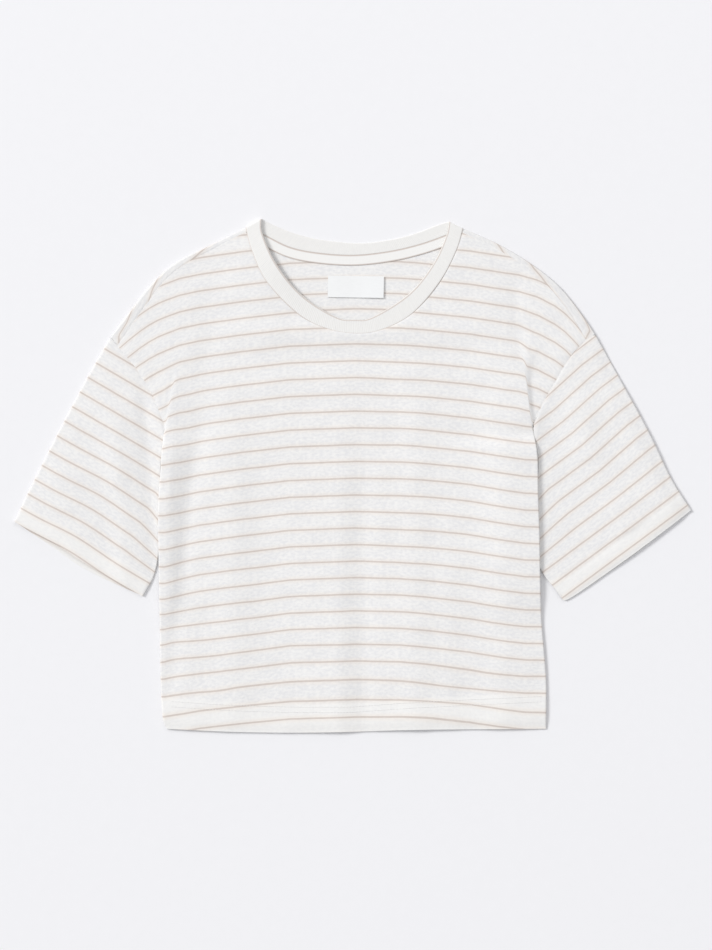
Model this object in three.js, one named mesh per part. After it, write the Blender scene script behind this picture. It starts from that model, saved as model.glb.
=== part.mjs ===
// A cropped short-sleeved jersey top, laid flat on its back with the sleeves spread.
// Millimetres. X runs to the right, Y towards the neck and Z up from the table.
// Each piece is a wall of cloth: a grid of points on its outside, a second one on its
// inside, and a border that joins the two.

import * as THREE from 'three';

// Cloth
const WALL = 1.0;
const RIB_WALL = 1.4;
const SEAM_GAP = 0.3;
const HALF_GAP = SEAM_GAP / 2;

// Heights of the laid layers
const BODY_HEIGHT = 3.6;
const BAND_HEIGHT = 4.0;
const SLEEVE_HEIGHT = 2.6;
const BODY_LIFT = SLEEVE_HEIGHT + SEAM_GAP;

// Folds at the sides, the shoulders and the edges of the sleeves
const FOLD_RADIUS = 2.0;
const FOLD_STEPS = [0, Math.PI / 4, Math.PI / 2];

// Where a sleeve's folds start below the armhole, as a share of their length, and how
// far its flat layers stay clear of the ends of the armhole and of the hem
const SLEEVE_START = 0.005;
const SLEEVE_CLEAR = { armhole: 0.02, hem: 0.015 };

// How far the body's hem stays clear of the side folds, as a share of its length
const HEM_CLEAR = 0.005;

// Shares of a sleeve: pressed flat past the first of its length, and on the under side of
// its width, where the body lies on it
const PRESSED = { past: 0.18, from: 0.25, to: 0.6 };

// Share of a shoulder's length in which the direction off it turns, at each end
const SHOULDER_CORNER = 0.2;

// Shares of a soft fold's length: fully grown, and where it starts to die away
const FOLD_TAPER = { grown: 0.3, fading: 0.85 };

// Neck tape and label, inside the back
const TAPE_WIDTH = 10.4;
const TAPE_ENDS = { from: 0.065, to: 0.935 };
const LABEL = { width: 57, height: 22, x: 3, y: 192.5 };

// Steps of the grids
const SIDE_ROWS = 14;
const ARMHOLE_STEPS = 10;
const SHOULDER_STEPS = 6;
const FRONT_NECK_STEPS = 20;
const BACK_NECK_STEPS = 12;
const SLEEVE_STATIONS = 10;

// Shares of the body's grid: where the armhole starts up the side, and where the neck
// starts and ends across the top
const UNDERARM_SHARE = 0.76;
const NECK_FROM = 0.27;
const NECK_TO = 0.73;

// How fast the bends of a patch's sides die away into it
const SIDE_REACH = 4;

// Outlines of the laid garment
const HEM = [
  { x: -190, y: -258 }, { x: -126, y: -261 }, { x: -62, y: -262 },
  { x: 1, y: -261 }, { x: 68, y: -259 }, { x: 197, y: -258 },
];
const SHOULDER = {
  left: [
    { x: -109, y: 253 }, { x: -147, y: 234 }, { x: -180, y: 217 },
    { x: -204, y: 196 }, { x: -224, y: 171 }, { x: -247, y: 141 },
  ],
  right: [
    { x: 112, y: 252 }, { x: 148, y: 236 }, { x: 183, y: 215 },
    { x: 211, y: 192 }, { x: 235, y: 162 }, { x: 247, y: 144 },
  ],
};
const ARMHOLE = {
  left: [
    { x: -192, y: 45 }, { x: -194, y: 56 }, { x: -205, y: 84 },
    { x: -220, y: 108 }, { x: -237, y: 129 }, { x: -247, y: 141 },
  ],
  right: [
    { x: 183, y: 50 }, { x: 195, y: 76 }, { x: 206, y: 95 },
    { x: 222, y: 122 }, { x: 237, y: 138 }, { x: 247, y: 144 },
  ],
};
const SIDE = {
  left: [
    { x: -190, y: -258 }, { x: -194, y: -246 }, { x: -196, y: -206 },
    { x: -197, y: -141 }, { x: -198, y: -72 }, { x: -198, y: -24 },
    { x: -194, y: 13 }, { x: -192, y: 45 },
  ],
  right: [
    { x: 197, y: -258 }, { x: 197, y: -206 }, { x: 192, y: -138 },
    { x: 190, y: -51 }, { x: 187, y: 13 }, { x: 183, y: 50 },
  ],
};
const NECK_SEAM_FRONT = [
  { x: -109, y: 253 }, { x: -103, y: 230 }, { x: -88, y: 198 }, { x: -57, y: 166 },
  { x: -30, y: 151 }, { x: 2, y: 145 }, { x: 30, y: 149 }, { x: 60, y: 165 },
  { x: 88, y: 197 }, { x: 105, y: 229 }, { x: 112, y: 252 },
];
const NECK_SEAM_BACK = [
  { x: -109, y: 253 }, { x: -91, y: 246 }, { x: -64, y: 233 }, { x: -34, y: 227 },
  { x: 2, y: 225 }, { x: 38, y: 229 }, { x: 68, y: 236 }, { x: 94, y: 245 },
  { x: 112, y: 252 },
];
const NECK_EDGE_FRONT = [
  { x: -93, y: 262 }, { x: -92, y: 247 }, { x: -78, y: 216 }, { x: -53, y: 185 },
  { x: -18, y: 162 }, { x: 2, y: 159 }, { x: 21, y: 162 }, { x: 58, y: 186 },
  { x: 82, y: 216 }, { x: 95, y: 244 }, { x: 98, y: 259 },
];
const NECK_EDGE_BACK = [
  { x: -93, y: 262 }, { x: -88, y: 259 }, { x: -68, y: 250 }, { x: -45, y: 243 },
  { x: -21, y: 239 }, { x: 10, y: 237 }, { x: 41, y: 241 }, { x: 64, y: 247 },
  { x: 85, y: 255 }, { x: 98, y: 259 },
];
const SLEEVE = {
  left: {
    top: [
      { x: -247, y: 141 }, { x: -270, y: 101 }, { x: -294, y: 56 },
      { x: -325, y: -5 }, { x: -345, y: -47 },
    ],
    hem: [
      { x: -214, y: -123 }, { x: -242, y: -107 }, { x: -275, y: -88 },
      { x: -304, y: -69 }, { x: -345, y: -47 },
    ],
    under: [
      { x: -192.4, y: 45 }, { x: -195.5, y: 13 }, { x: -196, y: -10 }, { x: -194, y: -36 },
      { x: -196, y: -66 }, { x: -202, y: -100 }, { x: -214, y: -123 },
    ],
    backHemDrop: 5.5,
  },
  right: {
    top: [
      { x: 247, y: 144 }, { x: 261, y: 119 }, { x: 301, y: 46 },
      { x: 324, y: -2 }, { x: 345, y: -35 },
    ],
    hem: [
      { x: 212, y: -123 }, { x: 221, y: -125 }, { x: 272, y: -90 },
      { x: 306, y: -65 }, { x: 345, y: -35 },
    ],
    under: [
      { x: 183.3, y: 50 }, { x: 188.5, y: 13 }, { x: 186, y: -14 }, { x: 181, y: -40 },
      { x: 183, y: -72 }, { x: 192, y: -97 }, { x: 204, y: -113 }, { x: 212, y: -123 },
    ],
    backHemDrop: 1.0,
  },
};

// How far the back's cloth reaches over each shoulder, from neck to armhole
const WRAP = [
  { share: 0, width: 3.5 }, { share: 0.4, width: 3 }, { share: 0.58, width: 4 },
  { share: 0.75, width: 9 }, { share: 1, width: 11 },
];

// How high the body's edge is lifted where it lies over a sleeve, up the body
const EDGE_LIFT = {
  left: [
    { y: -170, lift: 0 }, { y: -110, lift: 0.95 }, { y: -78, lift: 1 },
    { y: -16, lift: 1 }, { y: 14, lift: 0.95 }, { y: 44, lift: 0 },
  ],
  right: [
    { y: -190, lift: 0 }, { y: -120, lift: 0.95 }, { y: -80, lift: 1 },
    { y: -16, lift: 1 }, { y: 14, lift: 0.95 }, { y: 44, lift: 0 },
  ],
};
const LIFT_REACH = { left: { flat: 7, end: 32 }, right: { flat: 12, end: 40 } };

// Soft folds of the front: a trough is below the laid cloth, a ridge above it
const FRONT_FOLDS = [
  { x0: -135, y0: 130, x1: -171, y1: -80, width: 12, height: -0.5 },
  { x0: -158, y0: 10, x1: -182, y1: -240, width: 11, height: -0.6 },
  { x0: -182, y0: 110, x1: -193, y1: -200, width: 9, height: 0.5 },
  { x0: -122, y0: 130, x1: -122, y1: -290, width: 20, height: 1 },
  { x0: -22, y0: 150, x1: -22, y1: -290, width: 24, height: 0.6 },
  { x0: -12, y0: 20, x1: -14, y1: -330, width: 10, height: 0.6 },
  { x0: 8, y0: 20, x1: 8, y1: -330, width: 9, height: -0.7 },
  { x0: 63, y0: 165, x1: 66, y1: -330, width: 19, height: 1.1 },
  { x0: 98, y0: -10, x1: 98, y1: -330, width: 13, height: 0.7 },
  { x0: 152, y0: 140, x1: 154, y1: -300, width: 18, height: 1 },
  { x0: -185, y0: 146, x1: 165, y1: 146, width: 12, height: 0.9 },
  { x0: -150, y0: 121, x1: 150, y1: 121, width: 12, height: -0.6 },
];
const SLEEVE_FOLDS = {
  left: [
    { x0: -233, y0: 85, x1: -214, y1: -125, width: 10, height: 1.1 },
    { x0: -290, y0: 20, x1: -300, y1: -40, width: 20, height: 0.8 },
  ],
  right: [
    { x0: 228, y0: 90, x1: 244, y1: 10, width: 16, height: 1.1 },
    { x0: 262, y0: -20, x1: 284, y1: -60, width: 18, height: 0.9 },
  ],
};

const COLOUR = { jersey: '#efeeec', rib: '#f2f1f0', tape: '#ece9e6', label: '#f3f5f6' };

// Helpers on plan points

const smoothStep = (from, to, value) => {
  const share = THREE.MathUtils.clamp((value - from) / (to - from), 0, 1);
  return share * share * (3 - 2 * share);
};

const curveThrough = (rows) =>
  new THREE.SplineCurve(rows.map((row) => new THREE.Vector2(row.x, row.y)));

// The value of a table's column at a place between its rows
function lookUp(rows, key, column, place) {
  const last = rows.length - 1;
  if (place <= rows[0][key]) return rows[0][column];
  if (place >= rows[last][key]) return rows[last][column];
  const next = rows.findIndex((row) => row[key] > place);
  const low = rows[next - 1];
  const high = rows[next];
  const share = smoothStep(low[key], high[key], place);
  return THREE.MathUtils.lerp(low[column], high[column], share);
}

const direction = (from, to) => to.clone().sub(from).normalize();

// A chain of straight chords. Pieces that meet at a seam share one chain, each on its
// own side of it, so that their edges run parallel whatever their own grids are.
class Chain {
  constructor(points) {
    this.points = points;
  }

  static along(rows, steps) {
    return new Chain(curveThrough(rows).getSpacedPoints(steps));
  }

  get length() {
    return this.points.slice(1).reduce((sum, point, i) => sum + point.distanceTo(this.points[i]), 0);
  }

  // The chain moved to the left of its direction, square to it at each corner
  movedLeft(distance) {
    const { points } = this;
    const last = points.length - 1;
    return new Chain(points.map((point, i) => {
      const along = direction(points[Math.max(i - 1, 0)], points[Math.min(i + 1, last)]);
      return new THREE.Vector2(-along.y, along.x).multiplyScalar(distance).add(point);
    }));
  }

  // A place on the chain; whole steps fall on its corners
  at(share) {
    const place = THREE.MathUtils.clamp(share, 0, 1) * (this.points.length - 1);
    const i = Math.min(Math.floor(place), this.points.length - 2);
    return this.points[i].clone().lerp(this.points[i + 1], place - i);
  }
}

// A surface between four edges, each a function of a share from 0 to 1. The bottom and
// the top are joined by straight lines, and the bends of the sides die away into it.
function patch(bottom, top, left, right) {
  const bend = (edge, t) => edge(t)
    .addScaledVector(edge(0), t - 1)
    .addScaledVector(edge(1), -t);
  return (s, t) => bottom(s)
    .multiplyScalar(1 - t)
    .addScaledVector(top(s), t)
    .addScaledVector(bend(left, t), (1 - s) ** SIDE_REACH)
    .addScaledVector(bend(right, t), s ** SIDE_REACH);
}

// The height that a table of folds adds at a plan point
function foldHeight(folds, { x, y }) {
  let height = 0;
  for (const fold of folds) {
    const along = new THREE.Vector2(fold.x1 - fold.x0, fold.y1 - fold.y0);
    const from = new THREE.Vector2(x - fold.x0, y - fold.y0);
    const share = from.dot(along) / along.lengthSq();
    const across = from.cross(along) / along.length();
    const taper = smoothStep(0, FOLD_TAPER.grown, share)
      * (1 - smoothStep(FOLD_TAPER.fading, 1, share));
    height += fold.height * taper * Math.exp(-((across / fold.width) ** 2));
  }
  return height;
}

// A wall of cloth, built from pairs of points. Cells are given counter-clockwise as seen
// from outside. Each edge that only one cell uses gets a strip that closes the wall.
class Wall {
  constructor() {
    this.outer = [];
    this.inner = [];
    this.cells = [];
  }

  add(outer, inner) {
    this.outer.push(outer);
    this.inner.push(inner);
    return this.outer.length - 1;
  }

  // Cells between rows of point numbers
  addGrid(rows, closed = false) {
    for (let j = 0; j + 1 < rows.length; j += 1) {
      const count = rows[j].length;
      for (let i = 0; i < (closed ? count : count - 1); i += 1) {
        const next = (i + 1) % count;
        this.cells.push([rows[j][i], rows[j][next], rows[j + 1][next], rows[j + 1][i]]);
      }
    }
  }

  geometry() {
    const count = this.outer.length;
    const index = [];
    const quad = (a, b, c, d) => index.push(a, b, c, a, c, d);
    const edges = new Map();
    for (const cell of this.cells) {
      const [a, b, c, d] = cell;
      quad(a, b, c, d);
      index.push(a + count, c + count, b + count, a + count, d + count, c + count);
      cell.forEach((from, i) => {
        const to = cell[(i + 1) % 4];
        edges.set(`${from} ${to}`, [from, to]);
      });
    }
    for (const [from, to] of edges.values()) {
      if (!edges.has(`${to} ${from}`)) quad(to, from, from + count, to + count);
    }
    const points = [...this.outer, ...this.inner];
    const geometry = new THREE.BufferGeometry().setFromPoints(points);
    geometry.setIndex(index);
    geometry.computeVertexNormals();
    return geometry;
  }
}

const raised = (point, z) => new THREE.Vector3(point.x, point.y, z);

// Shared seams

const armhole = {
  left: Chain.along(ARMHOLE.left, ARMHOLE_STEPS),
  right: Chain.along(ARMHOLE.right, ARMHOLE_STEPS),
};
const neckSeamFront = Chain.along(NECK_SEAM_FRONT, FRONT_NECK_STEPS);
const neckSeamBack = Chain.along(NECK_SEAM_BACK, BACK_NECK_STEPS);
const shoulder = {
  left: curveThrough(SHOULDER.left),
  right: curveThrough(SHOULDER.right),
};
const side = { left: curveThrough(SIDE.left), right: curveThrough(SIDE.right) };
const hem = curveThrough(HEM);
const sign = { left: 1, right: -1 };

// The height of the body's underside: 0 on the table, lifted where it lies over a sleeve
function bodyLift(point) {
  const hand = point.x < 0 ? 'left' : 'right';
  const edge = sideX(hand, point.y);
  const inside = sign[hand] * (point.x - edge);
  const reach = LIFT_REACH[hand];
  const height = lookUp(EDGE_LIFT[hand], 'y', 'lift', point.y) * BODY_LIFT;
  return height * (1 - smoothStep(reach.flat, reach.end, inside));
}

// Where the side fold lies at a height up the body
function sideX(hand, y) {
  return lookUp(SIDE[hand], 'y', 'x', y);
}

// The top of the front at a plan point
const frontTop = (point) => bodyLift(point) + BODY_HEIGHT + foldHeight(FRONT_FOLDS, point);

// The edge of the body from hem to shoulder on one hand. Up to the underarm it is a fold,
// above it a cut edge on its own side of the armhole seam.
function bodyEdge(hand) {
  const cut = armhole[hand].movedLeft(-sign[hand] * HALF_GAP);
  return (t) => (t <= UNDERARM_SHARE
    ? side[hand].getPointAt(t / UNDERARM_SHARE)
    : cut.at((t - UNDERARM_SHARE) / (1 - UNDERARM_SHARE)));
}

const isFold = (t) => t <= UNDERARM_SHARE;

// The direction into the body, square to its edge
function inward(hand, t) {
  const edge = bodyEdge(hand);
  const step = 0.01;
  const along = direction(edge(Math.max(t - step, 0)), edge(Math.min(t + step, 1)));
  return new THREE.Vector2(along.y, -along.x).multiplyScalar(sign[hand]);
}

// Down from the shoulder fold into the body: along the neck seam at the neck's end, along
// the armhole at the other, and square to the fold between them
function downFromShoulder(hand, share) {
  const along = shoulder[hand].getTangentAt(share);
  const square = new THREE.Vector2(-along.y, along.x).multiplyScalar(sign[hand]);
  const { points } = armhole[hand];
  const byArmhole = direction(points[ARMHOLE_STEPS], points[ARMHOLE_STEPS - 1]);
  const neck = neckSeamFront.points;
  const byNeck = hand === 'left'
    ? direction(neck[0], neck[1])
    : direction(neck[FRONT_NECK_STEPS], neck[FRONT_NECK_STEPS - 1]);
  return square
    .lerp(byNeck, 1 - smoothStep(0, SHOULDER_CORNER, share))
    .lerp(byArmhole, smoothStep(1 - SHOULDER_CORNER, 1, share))
    .normalize();
}

// Below the shoulder fold by a distance, clear of the neckband and of the sleeve
function belowShoulder(hand, share, distance) {
  const fold = shoulder[hand];
  const clear = THREE.MathUtils.lerp(3 * SEAM_GAP, -2 * HALF_GAP, share) / fold.getLength();
  const point = fold.getPointAt(THREE.MathUtils.clamp(share + clear, 0, 1));
  return point.addScaledVector(downFromShoulder(hand, share), distance);
}

const wrapWidth = (share) => lookUp(WRAP, 'share', 'width', share);

// The share along the shoulder of a place in from the armhole: the flat part of a panel
// starts a fold's radius in, and `steps` counts its even steps from there to the neck
function shoulderShare(hand, steps) {
  const flat = 1 - FOLD_RADIUS / shoulder[hand].getLength();
  return flat * (1 - steps / SHOULDER_STEPS);
}

// The top edge of a panel, from the left armhole to the right one
function topEdge(neckChain, shoulderDistance) {
  const onShoulder = (hand, fromArmhole) => {
    const share = shoulderShare(hand, fromArmhole * SHOULDER_STEPS);
    return belowShoulder(hand, share, shoulderDistance(share));
  };
  return (s) => {
    if (s <= NECK_FROM) return onShoulder('left', s / NECK_FROM);
    if (s >= NECK_TO) return onShoulder('right', (1 - s) / (1 - NECK_TO));
    return neckChain.at((s - NECK_FROM) / (NECK_TO - NECK_FROM));
  };
}

// Shares across a panel, finer at its shoulders and on the corners of its neck seam
function acrossShares(neckSteps) {
  const shares = [];
  for (let i = 0; i < SHOULDER_STEPS; i += 1) shares.push((NECK_FROM * i) / SHOULDER_STEPS);
  for (let i = 0; i <= neckSteps; i += 1) {
    shares.push(NECK_FROM + ((NECK_TO - NECK_FROM) * i) / neckSteps);
  }
  for (let i = 1; i <= SHOULDER_STEPS; i += 1) {
    shares.push(NECK_TO + ((1 - NECK_TO) * i) / SHOULDER_STEPS);
  }
  return shares;
}

// Shares up a panel: the side, then the corners of the armhole up to a last one
function upShares(armholeSteps, lastStep) {
  const shares = [];
  for (let j = 0; j < SIDE_ROWS; j += 1) shares.push((UNDERARM_SHARE * j) / SIDE_ROWS);
  for (let j = 0; j <= armholeSteps; j += 1) {
    const step = j === armholeSteps ? lastStep : j;
    shares.push(UNDERARM_SHARE + ((1 - UNDERARM_SHARE) * step) / ARMHOLE_STEPS);
  }
  return shares;
}

// How far a fold's outside and inside lie in from its edge at an angle of the turn
const foldIn = (angle, wall = 0) => wall + (FOLD_RADIUS - wall) * (1 - Math.cos(angle));

// One panel of the body. It is laid between its hem, its sides and its top edge, and
// turns half of the fold at each side.
function bodyPanel({ neckChain, shoulderDistance, neckSteps, rowShares, surface }) {
  const wall = new Wall();
  const shares = acrossShares(neckSteps);
  const last = rowShares[rowShares.length - 1];
  const edges = { left: bodyEdge('left'), right: bodyEdge('right') };
  const inset = (hand) => (t) =>
    edges[hand](t * last).addScaledVector(inward(hand, t * last), FOLD_RADIUS);
  const plan = patch(
    (s) => hem.getPointAt(THREE.MathUtils.lerp(HEM_CLEAR, 1 - HEM_CLEAR, s)),
    topEdge(neckChain, shoulderDistance),
    inset('left'),
    inset('right'),
  );
  const rows = rowShares.map((t) => {
    const turn = (hand, angle) => {
      const into = inward(hand, t);
      const fold = isFold(t);
      const outerPlan = edges[hand](t).addScaledVector(into, foldIn(angle));
      const innerPlan = fold
        ? edges[hand](t).addScaledVector(into, foldIn(angle, WALL))
        : outerPlan;
      const sine = fold ? Math.sin(angle) : 1;
      return wall.add(...surface(outerPlan, innerPlan, sine));
    };
    const flat = shares.map((s) => {
      const point = plan(s, t / last);
      return wall.add(...surface(point, point, 1));
    });
    const angles = FOLD_STEPS.slice(0, -1);
    return [
      ...angles.map((angle) => turn('left', angle)),
      ...flat,
      ...angles.reverse().map((angle) => turn('right', angle)),
    ];
  });
  return { wall, rows };
}

// Front panel: outside on top
function makeFront() {
  const surface = (outerPlan, innerPlan, sine) => {
    const top = frontTop(outerPlan);
    const middle = (bodyLift(outerPlan) + top) / 2 + HALF_GAP;
    return [
      raised(outerPlan, THREE.MathUtils.lerp(middle, top, sine)),
      raised(innerPlan, THREE.MathUtils.lerp(middle, top - WALL, sine)),
    ];
  };
  const { wall, rows } = bodyPanel({
    neckChain: neckSeamFront.movedLeft(-HALF_GAP),
    shoulderDistance: (share) => wrapWidth(share) + HALF_GAP,
    neckSteps: FRONT_NECK_STEPS,
    rowShares: upShares(ARMHOLE_STEPS - 1, ARMHOLE_STEPS - 1),
    surface,
  });
  wall.addGrid(rows);
  return wall.geometry();
}

// Back panel: outside on the table, wrapped over each shoulder to the seam on the front
function makeBack() {
  const surface = (outerPlan, innerPlan, sine) => {
    const bottom = bodyLift(outerPlan);
    const middle = (bottom + frontTop(outerPlan)) / 2 - HALF_GAP;
    return [
      raised(outerPlan, THREE.MathUtils.lerp(middle, bottom, sine)),
      raised(innerPlan, THREE.MathUtils.lerp(middle, bottom + WALL, sine)),
    ];
  };
  const { wall, rows } = bodyPanel({
    neckChain: neckSeamBack.movedLeft(-HALF_GAP),
    shoulderDistance: () => FOLD_RADIUS,
    neckSteps: BACK_NECK_STEPS,
    rowShares: upShares(ARMHOLE_STEPS, ARMHOLE_STEPS),
    surface,
  });
  wall.addGrid(rows.map((row) => [...row].reverse()));

  const topRow = rows[rows.length - 1];
  const turnColumns = FOLD_STEPS.length - 1;
  const wrapRows = (hand, columns) => {
    const shareOf = (number) => {
      const fromEdge = hand === 'left' ? number : topRow.length - 1 - number;
      return fromEdge < turnColumns
        ? 1 - foldIn(FOLD_STEPS[fromEdge]) / shoulder[hand].getLength()
        : shoulderShare(hand, fromEdge - turnColumns);
    };
    const [, quarter, square] = FOLD_STEPS;
    const ring = [-quarter, 0, quarter, square].map((angle) => columns.map((number) => {
      const share = shareOf(number);
      const distance = foldIn(angle);
      const innerDistance = foldIn(angle, WALL);
      const half = BODY_HEIGHT / 2;
      const z = half + half * Math.sin(angle);
      const innerZ = half + (half - WALL) * Math.sin(angle);
      return wall.add(
        raised(belowShoulder(hand, share, distance), z),
        raised(belowShoulder(hand, share, innerDistance), innerZ),
      );
    }));
    const seam = columns.map((number) => {
      const share = shareOf(number);
      const point = belowShoulder(hand, share, wrapWidth(share) - HALF_GAP);
      const top = frontTop(point);
      return wall.add(raised(point, top), raised(point, top - WALL));
    });
    return [columns.map((number) => topRow[number]), ...ring, seam];
  };
  const columnCount = topRow.length;
  const shoulderColumns = turnColumns + SHOULDER_STEPS + 1;
  const leftColumns = [...Array(shoulderColumns).keys()];
  const rightColumns = leftColumns.map((number) => columnCount - shoulderColumns + number);
  wall.addGrid(wrapRows('left', leftColumns).map((row) => [...row].reverse()));
  wall.addGrid(wrapRows('right', rightColumns).map((row) => [...row].reverse()));
  return wall.geometry();
}

// Sleeve: a flattened tube, open at the armhole and at the hem
function makeSleeve(hand) {
  const wall = new Wall();
  const { top, hem: hemRows, under, backHemDrop } = SLEEVE[hand];
  const mirrored = sign[hand];
  const seam = armhole[hand].movedLeft(mirrored * HALF_GAP);
  const topCurve = curveThrough(top);
  const underCurve = curveThrough(under);
  const hemCurve = curveThrough(hemRows);
  const outFromHem = new THREE.Vector2(hemRows[4].y - hemRows[0].y, hemRows[0].x - hemRows[4].x)
    .normalize()
    .multiplyScalar(-mirrored);
  const inset = (curve, towards) => (k) => {
    const along = curve.getTangentAt(k);
    const square = new THREE.Vector2(-along.y, along.x).multiplyScalar(towards);
    return curve.getPointAt(k).addScaledVector(square, FOLD_RADIUS);
  };
  const clearOf = (ends, s) => THREE.MathUtils.lerp(ends, 1 - ends, s);
  const layer = (hemDrop) => patch(
    (s) => seam.at(clearOf(SLEEVE_CLEAR.armhole, s)),
    (s) => hemCurve.getPointAt(clearOf(SLEEVE_CLEAR.hem, s))
      .addScaledVector(outFromHem, hemDrop * Math.sin(Math.PI * s)),
    inset(underCurve, -mirrored),
    inset(topCurve, mirrored),
  );
  const layers = { front: layer(0), back: layer(backHemDrop) };

  const height = (point, s, k) => {
    const nearBody = 1 - smoothStep(PRESSED.from, PRESSED.to, s);
    const pressed = smoothStep(0, PRESSED.past, k) * nearBody;
    const laid = THREE.MathUtils.lerp(BODY_HEIGHT, SLEEVE_HEIGHT, pressed);
    return laid + foldHeight(SLEEVE_FOLDS[hand], point);
  };
  const acrossSteps = [...Array(ARMHOLE_STEPS + 1).keys()].map((i) => i / ARMHOLE_STEPS);
  const rows = [];
  for (let j = 0; j <= SLEEVE_STATIONS; j += 1) {
    const k = j / SLEEVE_STATIONS;
    const turn = (curve, towards, s, angle) => {
      const place = THREE.MathUtils.lerp(SLEEVE_START, 1, k);
      const along = curve.getTangentAt(place);
      const square = new THREE.Vector2(-along.y, along.x).multiplyScalar(towards);
      const edge = curve.getPointAt(place);
      const outerPlan = edge.clone().addScaledVector(square, foldIn(angle));
      const innerPlan = edge.clone().addScaledVector(square, foldIn(angle, WALL));
      const half = height(outerPlan, s, k) / 2;
      const sine = Math.sin(angle);
      return wall.add(
        raised(outerPlan, half + half * sine),
        raised(innerPlan, half + (half - WALL) * sine),
      );
    };
    const front = acrossSteps.map((s) => {
      const point = layers.front(s, k);
      const z = height(point, s, k);
      return wall.add(raised(point, z), raised(point, z - WALL));
    });
    const back = acrossSteps.map((s) => {
      const point = layers.back(s, k);
      return wall.add(raised(point, 0), raised(point, WALL));
    });
    const quarter = FOLD_STEPS[1];
    const underTurn = [-quarter, 0, quarter].map((angle) => turn(underCurve, -mirrored, 0, angle));
    const topTurn = [quarter, 0, -quarter].map((angle) => turn(topCurve, mirrored, 1, angle));
    const ring = [...underTurn, ...front, ...topTurn, ...back.reverse()];
    rows.push(mirrored > 0 ? ring : ring.reverse());
  }
  wall.addGrid(rows, true);
  return wall.geometry();
}

// Neckband: one folded rib strip from the neck seam to its free edge, round the opening.
// It lies on the front, turns down at each shoulder and lies on the table at the back.
function makeNeckband() {
  const wall = new Wall();
  const half = BAND_HEIGHT / 2;
  const seams = {
    front: neckSeamFront.movedLeft(HALF_GAP),
    back: neckSeamBack.movedLeft(HALF_GAP),
  };
  const edges = {
    front: Chain.along(NECK_EDGE_FRONT, FRONT_NECK_STEPS),
    back: Chain.along(NECK_EDGE_BACK, BACK_NECK_STEPS),
  };
  const strip = (outerEnds, innerEnds, outerZ, innerZ) => [0, 0.5, 1].map((across) => wall.add(
    raised(outerEnds[0].clone().lerp(outerEnds[1], across), outerZ),
    raised(innerEnds[0].clone().lerp(innerEnds[1], across), innerZ),
  ));
  const station = (layer, distance, share) => [
    seams[layer].at(share ?? distance / seams[layer].length),
    edges[layer].at(share ?? distance / edges[layer].length),
  ];
  const fromRight = (layer, distance) => [
    seams[layer].at(1 - distance / seams[layer].length),
    edges[layer].at(1 - distance / edges[layer].length),
  ];
  const turn = (ends, layer, angle) => {
    const up = layer === 'front' ? 1 : -1;
    const sine = Math.sin(angle) * up;
    return strip(
      ends(layer, foldIn(angle)),
      ends(layer, foldIn(angle, RIB_WALL)),
      half + half * sine,
      half + (half - RIB_WALL) * sine,
    );
  };
  const flat = (layer, share) => {
    const ends = station(layer, 0, share);
    const onTop = layer === 'front';
    const z = onTop ? BAND_HEIGHT : 0;
    return strip(ends, ends, z, onTop ? z - RIB_WALL : RIB_WALL);
  };
  const [, quarter, square] = FOLD_STEPS;
  const rings = [0, quarter, square].map((angle) => turn(station, 'front', angle));
  for (let i = 1; i < FRONT_NECK_STEPS; i += 1) rings.push(flat('front', i / FRONT_NECK_STEPS));
  for (const angle of [square, quarter, 0]) rings.push(turn(fromRight, 'front', angle));
  for (const angle of [quarter, square]) rings.push(turn(fromRight, 'back', angle));
  for (let i = BACK_NECK_STEPS - 1; i > 0; i -= 1) rings.push(flat('back', i / BACK_NECK_STEPS));
  for (const angle of [square, quarter]) rings.push(turn(station, 'back', angle));
  rings.push(rings[0]);
  wall.addGrid(rings.map((ring) => [...ring].reverse()));
  return wall.geometry();
}

// Neck tape: a strip on the inside of the back, below the neck seam
function makeNeckTape() {
  const wall = new Wall();
  const upper = neckSeamBack.movedLeft(-SEAM_GAP);
  const lower = neckSeamBack.movedLeft(-SEAM_GAP - TAPE_WIDTH);
  const bottom = WALL + SEAM_GAP;
  const row = (chain) => {
    const numbers = [];
    for (let i = 0; i <= BACK_NECK_STEPS; i += 1) {
      const share = THREE.MathUtils.clamp(i / BACK_NECK_STEPS, TAPE_ENDS.from, TAPE_ENDS.to);
      const point = chain.at(share);
      numbers.push(wall.add(raised(point, bottom + WALL), raised(point, bottom)));
    }
    return numbers;
  };
  wall.addGrid([row(lower), row(upper)]);
  return wall.geometry();
}

function makeLabel() {
  const geometry = new THREE.BoxGeometry(LABEL.width, LABEL.height, WALL);
  geometry.translate(LABEL.x, LABEL.y, WALL + SEAM_GAP + WALL / 2);
  return geometry;
}

// The garment

const cloth = (color, roughness) => new THREE.MeshStandardMaterial({ color, roughness, metalness: 0 });

function piece(name, geometry, material) {
  const mesh = new THREE.Mesh(geometry, material);
  mesh.name = name;
  return mesh;
}

const garment = new THREE.Group();
garment.add(
  piece('front', makeFront(), cloth(COLOUR.jersey, 0.9)),
  piece('back', makeBack(), cloth(COLOUR.jersey, 0.9)),
  piece('sleeve_left', makeSleeve('left'), cloth(COLOUR.jersey, 0.9)),
  piece('sleeve_right', makeSleeve('right'), cloth(COLOUR.jersey, 0.9)),
  piece('neckband', makeNeckband(), cloth(COLOUR.rib, 0.85)),
  piece('neck_tape', makeNeckTape(), cloth(COLOUR.tape, 0.9)),
  piece('label', makeLabel(), cloth(COLOUR.label, 0.6)),
);

// The origin is under the middle of the laid garment, on the table
const bounds = new THREE.Box3().setFromObject(garment);
const middle = bounds.getCenter(new THREE.Vector3());
garment.position.set(-middle.x, -middle.y, -bounds.min.z);

export default garment;
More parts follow.
